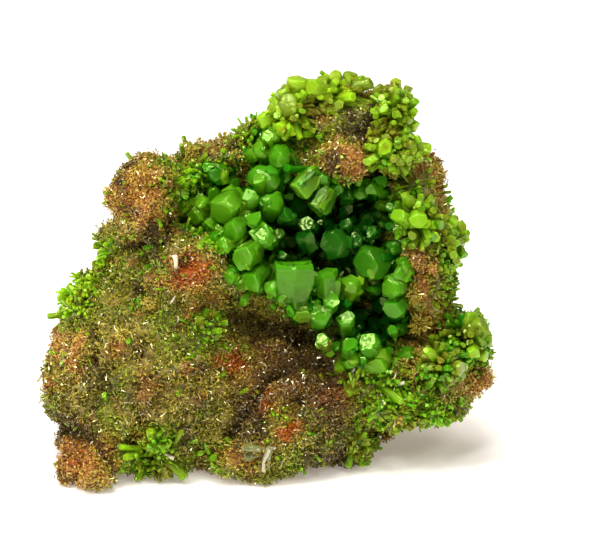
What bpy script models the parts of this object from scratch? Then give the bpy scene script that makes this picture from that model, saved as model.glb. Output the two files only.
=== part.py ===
"""A pyromorphite specimen: green barrel crystals in a vug of brown gossan, with sprays round its rim.

The show face is laid out as it is looked at, on a plane that leans back a little from the upright.
A place is (across, up, deep) in millimetres: across is +X, deep is +Y, and up is measured on that
plane from the table line at the front. The table is Z = 0, and -Y is the show face.
"""

import math
import random
from collections import namedtuple

import bmesh
import bpy
from mathutils import Matrix, Vector, noise
from mathutils.bvhtree import BVHTree

MM = 0.001

# Driving dimensions, in millimetres and radians.
FACE_LEAN = math.radians(15)
TABLE_LINE_DEEP = -15.0
ROCK_VOXEL = 0.8
ROCK_EASE_ROUNDS = 6
ROCK_TRIANGLES = 1500
VUG_VOXEL = 0.7
VUG_TRIANGLES = 270
CLEARANCE = 0.4
LINING = 1.3
LIMIT_EASE = 0.05
ROOT_BITE = 0.8
TABLE_CUT_SIDE = 200.0

# The rock's blocky relief: the size of the blocks, and the depth of the clefts between them.
BLOCK_SIZE = 4.6
CLEFT_DEPTH = 1.5
CLEFT_SHARE = 0.5

# The rock's rough relief, as (size of the lumps, height).
RELIEF = ((6.0, 1.4), (2.8, 1.2))

# The small crystals between the named ones in the vug.
FILLER_TRIES = 14
FILLER_WIDTHS = (2.0, 3.0)
FILLER_LENGTHS = (2.2, 4.2)
FILLER_ASIDE = 0.35
VUG_SEED = 11

# One swell of the rock: its place, and its half sizes along X, Y and Z.
Lump = namedtuple("Lump", "across up deep half_x half_y half_z")
DOME = Lump(-14.5, 15.6, 2.0, 13.4, 16.4, 14.6)
CHIN = Lump(0.5, 8.8, -1.0, 12.5, 12.8, 11.5)
HEART = Lump(0.0, 23.8, 9.0, 19.3, 10.3, 17.3)
PILLAR = Lump(19.7, 28.8, 4.0, 4.2, 9.2, 12.2)
CREST = Lump(10.5, 45.3, 5.0, 6.8, 7.2, 5.3)
LUMPS = (
    DOME,
    CHIN,
    HEART,
    PILLAR,
    CREST,
    Lump(-22.4, 11.3, 3.0, 5.6, 10.2, 9.2),
    Lump(-21.9, 3.7, -10.0, 4.8, 6.0, 4.2),
    Lump(10.8, 4.8, 0.0, 3.5, 5.7, 4.2),
    Lump(24.0, 16.9, 1.0, 4.2, 7.0, 5.0),
    Lump(18.3, 12.5, 0.0, 7.2, 9.2, 5.0),
    Lump(18.0, 37.5, 4.0, 4.4, 7.2, 6.2),
    Lump(14.7, 46.3, 5.0, 3.4, 6.6, 4.0),
    Lump(1.6, 43.6, 8.0, 6.0, 5.5, 5.0),
    Lump(9.5, 37.0, 11.5, 12.0, 7.5, 11.0),
    Lump(-4.6, 40.2, 6.5, 8.2, 7.2, 4.7),
    Lump(-15.4, 36.3, -5.0, 4.7, 6.2, 5.5),
    Lump(-15.8, 30.0, 4.0, 5.7, 8.2, 6.2),
    Lump(-25.5, 18.4, 0.0, 2.4, 4.2, 3.0),
    Lump(-26.4, 11.3, 0.0, 2.4, 4.2, 4.8),
    Lump(12.4, 14.4, 1.0, 8.7, 9.2, 7.7),
    Lump(9.9, 41.5, -1.0, 3.8, 4.2, 3.4),
    Lump(26.6, 13.4, -1.0, 2.3, 3.0, 2.2),
    Lump(-10.0, 28.0, -4.0, 6.5, 7.5, 5.5),
    Lump(4.2, 30.5, 2.0, 13.4, 9.5, 11.0),
)

# The hollow of the vug, as the swells that are cut out of the rock.
VUG = (
    Lump(4.2, 31.0, -7.0, 9.6, 13.0, 8.3),
    Lump(12.4, 25.0, -4.0, 5.6, 9.5, 7.5),
    Lump(-4.6, 36.0, -4.0, 6.2, 8.0, 5.4),
    Lump(12.2, 34.2, -2.0, 4.4, 9.0, 4.6),
    Lump(13.6, 20.0, -5.0, 5.2, 7.5, 4.4),
    Lump(0.8, 41.6, -0.5, 3.6, 6.5, 4.6),
)

# A crystal in the vug: where the middle of its end is, which way it points as a clock hand is read
# from the front (0 to the right, 90 up), how far it turns to the front, and its width.
VugCrystal = namedtuple("VugCrystal", "across up deep heading toward width")
VUG_CRYSTALS = (
    VugCrystal(1.4, 42.1, -1.0, 110, 45, 3.3),
    VugCrystal(-0.4, 39.8, -1.0, 100, 30, 4.2),
    VugCrystal(-5.5, 34.6, -5.0, 230, 45, 3.4),
    VugCrystal(-2.1, 36.8, -4.0, 120, 50, 2.6),
    VugCrystal(1.0, 36.3, -3.0, 75, 35, 3.4),
    VugCrystal(-4.2, 32.0, -7.0, 200, 60, 3.2),
    VugCrystal(-1.4, 32.4, -6.5, 90, 50, 3.6),
    VugCrystal(3.0, 34.5, -4.0, 50, 30, 1.7),
    VugCrystal(-2.9, 28.8, -9.0, 190, 45, 3.4),
    VugCrystal(-1.8, 25.8, -9.0, 215, 50, 3.0),
    VugCrystal(3.5, 28.3, -8.0, 92, 15, 5.6),
    VugCrystal(7.4, 27.4, -7.0, 95, 15, 3.1),
    VugCrystal(4.8, 32.0, -4.0, 110, 15, 2.2),
    VugCrystal(10.8, 26.4, -6.0, 70, 20, 2.8),
    VugCrystal(12.3, 28.3, -5.0, 170, 50, 4.4),
    VugCrystal(7.5, 30.8, -4.5, 205, 35, 3.9),
    VugCrystal(3.9, 37.2, -4.5, 225, 25, 2.9),
    VugCrystal(6.2, 34.8, -4.0, 235, 25, 3.0),
    VugCrystal(11.1, 31.8, -1.0, 100, 45, 2.6),
    VugCrystal(15.2, 25.2, -6.0, 165, 50, 3.1),
    VugCrystal(15.6, 22.4, -6.5, 200, 60, 2.9),
    VugCrystal(6.4, 22.4, -9.0, 100, 45, 3.2),
    VugCrystal(9.8, 21.6, -8.0, 95, 35, 2.4),
    VugCrystal(12.6, 18.6, -8.0, 120, 45, 2.8),
)

# A spray that grew outside the vug: the mounds that its crystals grow from, the end of each named
# crystal with its width, and how many small crystals fill in between.
End = namedtuple("End", "across up deep width")
Spray = namedtuple("Spray", "mounds ends fillers")
SPRAYS = {
    "crest_crystals": Spray(
        (Lump(3.4, 47.2, 2.6, 2.6, 3.0, 2.8), Lump(8.6, 49.4, 4.0, 4.2, 3.0, 2.0)),
        (
            End(3.9, 51.4, 2.2, 3.0),
            End(1.9, 50.0, 1.8, 2.6),
            End(5.6, 50.2, 0.4, 2.4),
            End(0.6, 48.0, 1.4, 2.6),
            End(3.0, 48.2, -0.8, 2.8),
            End(7.0, 51.6, 3.2, 1.6),
            End(8.6, 51.9, 3.4, 2.0),
            End(10.6, 52.1, 3.6, 1.7),
            End(12.5, 51.6, 4.0, 1.2),
            End(-0.8, 45.8, 1.6, 2.2),
        ),
        3,
    ),
    "rim_crystals": Spray(
        (Lump(16.0, 47.0, 1.0, 2.2, 3.2, 3.0), Lump(15.6, 42.4, -1.6, 3.2, 2.6, 2.6)),
        (
            End(16.2, 51.0, 1.2, 1.3),
            End(17.3, 49.6, 0.6, 1.5),
            End(18.4, 47.2, 0.4, 1.8),
            End(18.7, 45.2, -0.2, 1.8),
            End(14.5, 47.4, -3.4, 1.5),
            End(14.6, 42.5, -5.2, 2.1),
            End(12.6, 40.8, -5.0, 1.7),
            End(16.8, 40.6, -4.6, 1.6),
            End(18.2, 42.6, -3.4, 1.7),
            End(20.4, 42.6, -1.2, 1.8),
        ),
        3,
    ),
    "flank_crystals": Spray(
        (Lump(19.0, 33.4, -3.0, 2.8, 3.0, 2.8), Lump(22.6, 31.0, 0.0, 2.0, 3.4, 3.0)),
        (
            End(16.2, 34.4, -6.6, 2.4),
            End(18.9, 33.6, -7.2, 2.5),
            End(24.6, 33.0, -0.4, 1.8),
            End(24.8, 29.6, -0.6, 1.6),
            End(24.9, 31.2, 1.2, 1.4),
            End(20.6, 36.4, -4.0, 1.3),
            End(17.0, 36.8, -5.6, 1.3),
        ),
        3,
    ),
    "wing_crystals": Spray(
        (Lump(24.6, 18.8, -2.4, 2.6, 4.0, 2.8), Lump(21.6, 15.4, -6.4, 2.4, 2.4, 2.2)),
        (
            End(25.7, 22.2, -3.0, 1.8),
            End(27.3, 20.6, -4.4, 2.8),
            End(28.4, 18.6, -2.4, 1.8),
            End(25.8, 17.0, -7.4, 1.8),
            End(27.6, 16.6, -5.0, 1.5),
            End(24.4, 15.2, -8.6, 2.1),
            End(19.8, 17.6, -9.4, 1.4),
        ),
        3,
    ),
}

SPRAY_SEED = 5
SPRAY_WIDTHS = (1.2, 2.0)
SPRAY_REACH = (0.7, 1.5)

# A patch of small crystals that are fused to the rock: its middle on the show face, its half
# width, how many crystals it has, and the width of the widest.
Patch = namedtuple("Patch", "across up reach count width")
PATCHES = (
    Patch(-1.0, 5.4, 0.6, 2, 2.6),
    Patch(-14.0, 5.0, 3.0, 8, 1.9),
    Patch(-24.6, 25.0, 2.8, 7, 1.9),
    Patch(-9.2, 37.6, 2.6, 7, 1.9),
    Patch(-4.4, 43.4, 2.0, 2, 1.6),
    Patch(-7.4, 21.0, 1.4, 3, 1.8),
    Patch(11.2, 15.6, 3.2, 4, 1.9),
    Patch(15.2, 9.4, 2.6, 5, 1.9),
    Patch(20.6, 11.4, 2.8, 5, 2.0),
    Patch(11.4, 5.2, 1.4, 3, 1.8),
    Patch(19.4, 27.6, 2.0, 2, 1.6),
    Patch(10.4, 47.0, 3.0, 3, 1.7),
)
PATCH_SEED = 3
STUD_STANDS = (1.0, 2.2)
STUD_BITE = 1.4
STUD_ASIDE = 0.55

PYROMORPHITE = (0.10, 0.42, 0.04, 1.0)
GOSSAN = (0.30, 0.16, 0.05, 1.0)

# The height of a barrel crystal's belly, and the widths of its root and end, as shares.
BELLY_AT = 0.6
ROOT_SHARE = 0.66
END_SHARE = 0.84


def place(across, up, deep):
    """A place on the show face, in the frame's metres."""
    rise = (deep - TABLE_LINE_DEEP) * math.sin(FACE_LEAN)
    return Vector((across, deep, (up - rise) / math.cos(FACE_LEAN))) * MM


def middle(item):
    return place(item.across, item.up, item.deep)


def pointing(heading, toward):
    """The unit vector of a crystal that is read from the front."""
    clock, tip = math.radians(heading), math.radians(toward)
    return Vector((math.cos(tip) * math.cos(clock), -math.sin(tip), math.cos(tip) * math.sin(clock)))


def finish(name, red_green_blue, roughness):
    made = bpy.data.materials.new(name)
    made.use_nodes = True
    shader = made.node_tree.nodes["Principled BSDF"]
    shader.inputs["Base Color"].default_value = red_green_blue
    shader.inputs["Roughness"].default_value = roughness
    shader.inputs["Metallic"].default_value = 0.0
    return made


def object_of(name, bm, collection, helper=False):
    """Turns a bmesh into an object, facing out. A helper only cuts or joins."""
    bmesh.ops.recalc_face_normals(bm, faces=bm.faces)
    mesh = bpy.data.meshes.new(name)
    bm.to_mesh(mesh)
    bm.free()
    made = bpy.data.objects.new(name, mesh)
    collection.objects.link(made)
    if helper:
        made.hide_render = True
        made.display_type = "WIRE"
    return made


def settle(obj):
    """Applies an object's modifiers to its mesh."""
    graph = bpy.context.evaluated_depsgraph_get()
    graph.update()
    mesh = bpy.data.meshes.new_from_object(obj.evaluated_get(graph))
    obj.modifiers.clear()
    obj.data = mesh


def combine(obj, other, operation, own_overlaps=False):
    """Cuts or joins two closed shapes. own_overlaps is for one whose own shapes run into each other."""
    modifier = obj.modifiers.new(operation.lower(), "BOOLEAN")
    modifier.operation = operation
    modifier.solver = "EXACT"
    modifier.use_self = own_overlaps
    modifier.object = other
    settle(obj)


def keep_largest(obj):
    """Drops the crumbs that a cut leaves loose."""
    bm = bmesh.new()
    bm.from_mesh(obj.data)
    unseen = set(bm.verts)
    islands = []
    while unseen:
        front = [unseen.pop()]
        island = set(front)
        while front:
            for edge in front.pop().link_edges:
                fresh = [vert for vert in edge.verts if vert in unseen]
                unseen.difference_update(fresh)
                island.update(fresh)
                front.extend(fresh)
        islands.append(island)
    largest = max(islands, key=len)
    crumbs = [vert for vert in bm.verts if vert not in largest]
    bmesh.ops.delete(bm, geom=crumbs, context="VERTS")
    bm.to_mesh(obj.data)
    bm.free()


def add_lump(bm, lump, grow=0.0, fineness=2):
    """Adds one swell as a stretched sphere, grown all round by that many millimetres."""
    halves = [(half + grow) * MM for half in (lump.half_x, lump.half_y, lump.half_z)]
    where = Matrix.Translation(middle(lump)) @ Matrix.Diagonal((*halves, 1.0))
    bmesh.ops.create_icosphere(bm, subdivisions=fineness, radius=1.0, matrix=where)


def depth_in(lump, point, grow=0.0):
    """How far along its own radius a point is in a swell: 0 in the middle, 1 on the skin."""
    away = (point - middle(lump)) / MM
    halves = (lump.half_x + grow, lump.half_y + grow, lump.half_z + grow)
    return math.sqrt(sum((part / half) ** 2 for part, half in zip(away, halves)))


def in_any(lumps, point, grow=0.0):
    return any(depth_in(lump, point, grow) < 1.0 for lump in lumps)


def unit_crystal(name):
    """A six-sided barrel, or a plain prism, 1 long and 2 wide, as a mesh to stretch and place."""
    bm = bmesh.new()
    bmesh.ops.create_cone(
        bm,
        cap_ends=True,
        segments=6,
        radius1=ROOT_SHARE,
        radius2=END_SHARE,
        depth=1.0,
        matrix=Matrix.Translation((0, 0, 0.5)),
    )
    if name == "barrel":
        whole = bm.verts[:] + bm.edges[:] + bm.faces[:]
        cut = bmesh.ops.bisect_plane(bm, geom=whole, plane_co=(0, 0, BELLY_AT), plane_no=(0, 0, 1))
        for vert in cut["geom_cut"]:
            if isinstance(vert, bmesh.types.BMVert):
                vert.co.xy = vert.co.xy.normalized()
    mesh = bpy.data.meshes.new(name)
    bm.to_mesh(mesh)
    bm.free()
    return mesh


def add_crystal(bm, root, tip, width, grow=0.0, form="barrel"):
    """Adds a crystal with a flat end. A barrel is widest a little above its middle."""
    mesh = bpy.data.meshes.get(form) or unit_crystal(form)
    before = len(bm.verts)
    bm.from_mesh(mesh)
    bm.verts.ensure_lookup_table()
    axis = tip - root
    half = (width / 2 + grow) * MM
    stretch = Matrix.Diagonal((half, half, axis.length + grow * MM, 1.0))
    spin = Matrix.Rotation((tip.x + tip.z) / MM, 4, "Z")
    turn = axis.to_track_quat("Z", "Y").to_matrix().to_4x4()
    matrix = Matrix.Translation(root) @ turn @ spin @ stretch
    bmesh.ops.transform(bm, matrix=matrix, verts=bm.verts[before:])


def vug_root(tip, direction):
    """Where a vug crystal bites into the lining, found by walking back from its tip."""
    point = tip.copy()
    while in_any(VUG, point, -CLEARANCE - LINING):
        point -= direction * 0.2 * MM
    return point - direction * ROOT_BITE * MM


def spread_over(lump, count, dice):
    """Points spread evenly over a swell's skin, as unit vectors from its middle."""
    turn = dice.random() * math.tau
    for number in range(count):
        height = 1 - (2 * number + 1) / count
        ring = math.sqrt(1 - height * height)
        angle = turn + number * math.pi * (3 - math.sqrt(5))
        yield Vector((ring * math.cos(angle), ring * math.sin(angle), height))


def on_skin(lump, unit, grow=0.0):
    halves = Vector((lump.half_x + grow, lump.half_y + grow, lump.half_z + grow))
    return middle(lump) + unit * halves * MM


def add_vug_fillers(bm):
    """The smaller crystals of the crust, which lean from the lining towards the vug's mouth."""
    dice = random.Random(VUG_SEED)
    mouth = Vector((0, -1, 0.25)).normalized()
    for lump in VUG:
        for unit in spread_over(lump, FILLER_TRIES, dice):
            root = on_skin(lump, unit, -CLEARANCE - LINING)
            width = dice.uniform(*FILLER_WIDTHS)
            length = dice.uniform(*FILLER_LENGTHS)
            aside = Vector([dice.uniform(-1, 1) for _ in range(3)]) * FILLER_ASIDE
            buried = [other for other in VUG if depth_in(other, root, -CLEARANCE - LINING) < 0.99]
            if buried or not in_any(LUMPS, root, -0.6):
                continue
            direction = (mouth * 0.8 - unit + aside).normalized()
            tip = root + direction * length * MM
            add_crystal(bm, root - direction * ROOT_BITE * MM, tip, width, form="prism")


def thin_out(obj, triangles):
    """Brings an object's mesh down to about that many triangles."""
    obj.data.calc_loop_triangles()
    thin = obj.modifiers.new("thin", "DECIMATE")
    thin.ratio = triangles / len(obj.data.loop_triangles)
    settle(obj)


def skin_over(obj, voxel, ease_rounds):
    """Makes one closed skin over shapes that run into each other, with its creases eased."""
    skin = obj.modifiers.new("skin", "REMESH")
    skin.mode = "VOXEL"
    skin.voxel_size = voxel * MM
    if ease_rounds:
        ease = obj.modifiers.new("ease", "SMOOTH")
        ease.iterations = ease_rounds
    settle(obj)


def make_vug_form(name, helpers, shrink=0.0, inset=0.0):
    """The hollow as one closed shape: from shrunk swells, or with its skin moved straight in."""
    bm = bmesh.new()
    for lump in VUG:
        add_lump(bm, lump, -shrink, 3)
    form = object_of(name, bm, helpers, helper=True)
    skin_over(form, VUG_VOXEL, 0)
    thin_out(form, VUG_TRIANGLES)
    normals = [vert.normal.copy() for vert in form.data.vertices]
    for vert, normal in zip(form.data.vertices, normals):
        vert.co -= normal * inset * MM
    return form


def make_crust(parts, helpers, whole_rock):
    """The vug's lining of barrel crystals, one crust with its back to the rock."""
    lining = make_vug_form("vug_lining", helpers, inset=CLEARANCE)
    room = make_vug_form("vug_room", helpers, shrink=CLEARANCE + LINING)
    combine(lining, room, "DIFFERENCE")
    combine(lining, whole_rock, "INTERSECT")
    keep_largest(lining)
    bm = bmesh.new()
    for crystal in VUG_CRYSTALS:
        tip = middle(crystal)
        direction = pointing(crystal.heading, crystal.toward)
        add_crystal(bm, vug_root(tip, direction), tip, crystal.width)
    add_vug_fillers(bm)
    crust = object_of("vug_crystal_crust", bm, parts)
    combine(crust, lining, "UNION", own_overlaps=True)
    limit = make_vug_form("vug_limit", helpers, inset=CLEARANCE - LIMIT_EASE)
    combine(crust, limit, "INTERSECT")
    keep_largest(crust)
    return crust


def add_spray(bm, name, spray, grow=0.0):
    """Adds a spray's mounds and crystals, grown all round by that many millimetres."""
    dice = random.Random(SPRAY_SEED + len(name))
    for mound in spray.mounds:
        add_lump(bm, mound, grow)
    for end in spray.ends:
        tip = middle(end)
        mound = min(spray.mounds, key=lambda one: depth_in(one, tip))
        add_crystal(bm, middle(mound).lerp(tip, 0.25), tip, end.width, grow)
    for mound in spray.mounds:
        for unit in spread_over(mound, 2 * spray.fillers, dice):
            reach = dice.uniform(*SPRAY_REACH)
            width = dice.uniform(*SPRAY_WIDTHS)
            tip = on_skin(mound, unit, reach)
            if unit.y < 0.2 and not in_any(LUMPS, tip, 0.2):
                add_crystal(bm, middle(mound).lerp(tip, 0.4), tip, width, grow, "prism")


def make_spray(name, spray, parts, helpers):
    """A spray as one solid, from crystals that run into each other at their roots."""
    bm = bmesh.new()
    add_spray(bm, name, spray)
    made = object_of(name, bm, parts)
    bm = bmesh.new()
    add_lump(bm, spray.mounds[0], -0.5, 1)
    combine(made, object_of(name + "_core", bm, helpers, helper=True), "UNION", own_overlaps=True)
    keep_largest(made)
    return made


def relief(point):
    """How far the rock's skin stands out at a point, in millimetres."""
    push = sum(height * noise.noise(point / (size * MM)) for size, height in RELIEF)
    near, next_near = noise.voronoi(point / (BLOCK_SIZE * MM))[0][:2]
    return push - CLEFT_DEPTH * max(0.0, 1 - (next_near - near) / CLEFT_SHARE)


def make_studs(rock, helpers):
    """The small crystals of the show face, standing on the rock where a line of sight meets it."""
    dice = random.Random(PATCH_SEED)
    bm = bmesh.new()
    bm.from_mesh(rock.data)
    skin = BVHTree.FromBMesh(bm)
    bm.free()
    sight = (place(0, 0, 1) - place(0, 0, 0)).normalized()
    bm = bmesh.new()
    for patch in PATCHES:
        for number in range(patch.count):
            angle = number * math.pi * (3 - math.sqrt(5))
            away = patch.reach * math.sqrt((number + 0.5) / patch.count)
            across = patch.across + away * math.cos(angle)
            start = place(across, patch.up + away * math.sin(angle), 2 * TABLE_LINE_DEEP)
            width = patch.width * dice.uniform(0.7, 1.0)
            stand = dice.uniform(*STUD_STANDS)
            aside = Vector([dice.uniform(-1, 1) for _ in range(3)]) * STUD_ASIDE
            foot, normal, _, _ = skin.ray_cast(start, sight)
            if foot:
                direction = (normal + aside).normalized()
                tip = foot + direction * stand * MM
                add_crystal(bm, foot - direction * STUD_BITE * MM, tip, width, form="prism")
    return object_of("rock_crystals", bm, helpers, helper=True)


def make_rock(parts, helpers):
    """The gossan body, rough all over, with its small crystals, and with its vug still closed."""
    bm = bmesh.new()
    for lump in LUMPS:
        add_lump(bm, lump, fineness=3)
    rock = object_of("gossan_matrix", bm, parts)
    skin_over(rock, ROCK_VOXEL, ROCK_EASE_ROUNDS)
    for vert in rock.data.vertices:
        vert.co += vert.normal * relief(vert.co) * MM
    skin_over(rock, ROCK_VOXEL, 0)
    thin_out(rock, ROCK_TRIANGLES)
    studs = make_studs(rock, helpers)
    combine(rock, studs, "UNION", own_overlaps=True)
    keep_largest(rock)
    return rock


def cut_at_table(rock, helpers):
    """Cuts the rock off flat where it rests."""
    bm = bmesh.new()
    side = TABLE_CUT_SIDE * MM
    bmesh.ops.create_cube(bm, size=side, matrix=Matrix.Translation((0, 0, -side / 2)))
    combine(rock, object_of("table_cut", bm, helpers, helper=True), "DIFFERENCE")


def build():
    for obj in list(bpy.data.objects):
        bpy.data.objects.remove(obj)
    parts = bpy.data.collections.new("pyromorphite specimen")
    helpers = bpy.data.collections.new("cutters")
    for collection in (parts, helpers):
        bpy.context.scene.collection.children.link(collection)
    pyromorphite = finish("pyromorphite", PYROMORPHITE, 0.25)
    gossan = finish("gossan", GOSSAN, 0.9)

    rock = make_rock(parts, helpers)
    cut_at_table(rock, helpers)
    crystals = [make_crust(parts, helpers, rock)]
    combine(rock, make_vug_form("vug_cut", helpers), "DIFFERENCE")
    for name, spray in SPRAYS.items():
        crystals.append(make_spray(name, spray, parts, helpers))
        bm = bmesh.new()
        add_spray(bm, name, spray, CLEARANCE)
        pocket = object_of(name + "_pocket", bm, helpers, helper=True)
        combine(rock, pocket, "DIFFERENCE", own_overlaps=True)
    keep_largest(rock)
    rock.data.materials.append(gossan)
    for crystal in crystals:
        crystal.data.materials.append(pyromorphite)


build()
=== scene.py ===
"""Dresses the pyromorphite specimen: rough gossan, a vug of green barrel crystals and a coat of fine druse.

The show face is laid out as it is looked at, on a plane that leans back a little from the upright.
A place on it is (across, up, deep) in millimetres: across is +X, deep is +Y, and up is measured on
that plane from the table line at the front. The table is Z = 0, and -Y is the show face.
"""

import math
from collections import namedtuple

import bmesh
import bpy
import numpy as np
from bpy.props import FloatProperty, FloatVectorProperty, IntProperty, PointerProperty
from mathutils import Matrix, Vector, noise
from mathutils.bvhtree import BVHTree
from mathutils.kdtree import KDTree


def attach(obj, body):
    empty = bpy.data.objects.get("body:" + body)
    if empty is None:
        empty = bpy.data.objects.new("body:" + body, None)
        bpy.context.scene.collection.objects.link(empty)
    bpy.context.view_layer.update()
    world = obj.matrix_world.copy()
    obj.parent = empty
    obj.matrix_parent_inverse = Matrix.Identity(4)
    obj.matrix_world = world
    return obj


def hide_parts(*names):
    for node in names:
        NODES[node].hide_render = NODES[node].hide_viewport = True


bl_info = {
    "name": "Pyromorphite specimen",
    "version": (1, 0, 0),
    "blender": (4, 5, 0),
    "location": "3D View > Sidebar > Specimen",
    "description": "Dresses a gossan hand specimen with pyromorphite crystals",
    "category": "Object",
}

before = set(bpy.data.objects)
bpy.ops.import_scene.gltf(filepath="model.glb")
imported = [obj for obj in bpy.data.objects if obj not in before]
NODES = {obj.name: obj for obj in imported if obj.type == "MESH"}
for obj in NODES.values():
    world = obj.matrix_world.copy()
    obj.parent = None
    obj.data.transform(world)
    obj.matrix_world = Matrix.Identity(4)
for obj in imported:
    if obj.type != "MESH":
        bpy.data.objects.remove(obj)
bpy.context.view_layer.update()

MM = 0.001
# The show face leans back by this from the upright, meets the table this deep, and is looked at along INWARD.
FACE_LEAN = math.radians(15)
TABLE_LINE_DEEP = -15.0
INWARD = Vector((0, math.cos(FACE_LEAN), -math.sin(FACE_LEAN)))
# A line of sight starts this far off, in millimetres.
SIGHT_MM = 60
# From here to here on Y, in millimetres, the show face gives way to the back.
BACK_FROM, BACK_FULL = 2.0, 9.0
# Left of this, in millimetres across, the rim of the vug is bare rock with druse on it.
VUG_RIM_LEFT = -6.6
# Crystals stand this clear of the table, and the tips of blades this clear of the rock, in millimetres.
TABLE_GAP_MM = 0.12
BLADE_GAP_MM = 1.5
# Needles lean away from the middle of their tuft, fully so at this distance from it in millimetres.
NEEDLES_PER_TUFT = 16
TUFT_REACH_MM = 0.55
# The share of the needles that lie flat and glitter.
LYING_SHARE = 0.28
# How deep crystals are rooted in the rock, in millimetres.
DRUSE_ROOT_MM = 0.35
PRISM_ROOT_MM = 0.5
CRYSTAL_ROOT_MM = 0.8

# The photograph's frame: its size, the pixel column of the specimen's middle, the row of the table
# line, and its scale.
PHOTO_WIDTH = 600
PHOTO_HEIGHT = 542
PHOTO_MIDDLE = 266
PHOTO_TABLE = 490
PIXELS_PER_MM = 8.0
SENSOR_MM = 36.0
# The depth, in millimetres, at which that scale holds.
FRAMED_DEEP = -2
# The light of the room, and the light that the sweep gives off.
ROOM_COLOUR = "#fff6ea"
GLOW_COLOUR = "#ffeedd"


def rows_of(kind, *rows):
    """A table: each row with its values named."""
    return [kind(*row) for row in rows]


# The swells that the vug is hollowed out of, as in the solid: place, and half sizes along X, Y and Z.
Lump = namedtuple("Lump", "across up deep half_x half_y half_z")
VUG = rows_of(
    Lump,
    (4.2, 31.0, -7.0, 9.6, 13.0, 8.3),
    (12.4, 25.0, -4.0, 5.6, 9.5, 7.5),
    (-4.6, 36.0, -4.0, 6.2, 8.0, 5.4),
    (12.2, 34.2, -2.0, 4.4, 9.0, 4.6),
    (13.6, 20.0, -5.0, 5.2, 7.5, 4.4),
    (0.8, 41.6, -0.5, 3.6, 6.5, 4.6),
)

# A large crystal in the vug: where the middle of its end is, which way it points as a clock hand is
# read from the front (0 to the right, 90 up), how far it turns to the front, its width, its tint and
# its form.
VugCrystal = namedtuple("VugCrystal", "across up deep heading toward width tint form")
VUG_CRYSTALS = rows_of(
    VugCrystal,
    (1.4, 42.1, -1.0, 110, 45, 3.3, 0.16, "bud"),
    (-0.4, 39.8, -1.0, 100, 30, 4.2, 0.14, "bud"),
    (-8.2, 36.2, -3.2, 100, 40, 2.6, 0.34, "bud"),
    (-9.0, 33.9, -3.6, 200, 50, 2.2, 0.30, "block"),
    (-7.2, 32.6, -4.4, 230, 50, 1.9, 0.28, "block"),
    (-10.6, 35.6, -3.2, 160, 45, 1.8, 0.36, "block"),
    (-10.4, 38.4, -2.2, 120, 45, 1.6, 0.36, "block"),
    (0.4, 44.6, 0.6, 100, 40, 2.8, 0.30, "bud"),
    (-1.0, 42.8, 0.2, 130, 45, 2.4, 0.26, "bud"),
    (-5.5, 34.6, -5.0, 215, 58, 4.0, 0.25, "barrel"),
    (-2.1, 36.8, -4.0, 95, 35, 2.6, 0.20, "barrel"),
    (1.0, 36.3, -3.0, 75, 35, 3.4, 0.16, "bud"),
    (-4.2, 32.0, -7.0, 200, 60, 3.2, 0.18, "barrel"),
    (-0.6, 32.0, -6.8, 116, 52, 3.4, 0.16, "hopper"),
    (-1.5, 33.9, -6.0, 116, 52, 1.9, 0.17, "block"),
    (9.8, 33.2, -3.4, 116, 52, 1.7, 0.06, "block"),
    (11.1, 31.3, -3.6, 112, 50, 1.8, 0.06, "block"),
    (13.1, 32.3, -4.0, 118, 54, 1.5, 0.09, "block"),
    (5.1, 33.3, -3.6, 120, 50, 1.9, 0.08, "block"),
    (3.0, 22.7, -10.2, 116, 52, 1.1, 0.12, "block"),
    (15.7, 20.1, -7.4, 116, 52, 1.2, 0.12, "block"),
    (3.0, 34.5, -4.0, 50, 30, 1.7, 0.14, "block"),
    (-2.9, 28.8, -9.0, 200, 55, 3.4, 0.20, "block"),
    (-1.8, 25.8, -9.0, 215, 50, 3.0, 0.16, "barrel"),
    (3.5, 28.3, -8.0, 92, -6, 5.6, 0.14, "flared"),
    (7.4, 27.4, -7.0, 95, 0, 3.1, 0.16, "block"),
    (4.8, 32.0, -4.0, 110, 15, 2.2, 0.11, "block"),
    (10.8, 26.4, -6.0, 70, 20, 2.8, 0.27, "bud"),
    (12.3, 28.3, -5.0, 170, 50, 4.4, 0.16, "barrel"),
    (8.0, 30.6, -4.5, 160, 60, 4.1, 0.11, "barrel"),
    (3.9, 37.2, -4.5, 225, 25, 2.9, 0.29, "block"),
    (6.2, 34.8, -4.0, 235, 25, 3.0, 0.29, "block"),
    (11.1, 31.8, -1.0, 100, 45, 2.6, 0.04, "block"),
    (15.2, 25.2, -6.0, 165, 50, 3.1, 0.20, "barrel"),
    (15.6, 22.4, -6.5, 200, 60, 2.9, 0.10, "barrel"),
    (6.4, 22.4, -9.0, 100, 45, 3.2, 0.14, "barrel"),
    (9.8, 21.6, -8.0, 95, 35, 2.4, 0.14, "block"),
    (12.6, 18.6, -8.0, 120, 45, 2.8, 0.14, "block"),
    (2.4, 23.6, -9.6, 250, 55, 2.3, 0.16, "barrel"),
    (4.6, 21.6, -9.8, 280, 50, 2.6, 0.14, "block"),
    (0.6, 24.6, -9.6, 220, 55, 2.1, 0.18, "bud"),
    (4.2, 24.2, -9.6, 100, 60, 1.8, 0.20, "block"),
    (8.2, 23.8, -8.6, 80, 50, 2.2, 0.14, "block"),
    (-4.6, 26.6, -8.6, 200, 55, 2.0, 0.20, "barrel"),
    (-5.4, 30.4, -8.2, 170, 55, 2.0, 0.22, "bud"),
    (7.0, 18.9, -9.8, 110, 50, 2.0, 0.14, "block"),
    (10.4, 18.4, -9.4, 80, 50, 2.2, 0.14, "block"),
)

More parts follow.
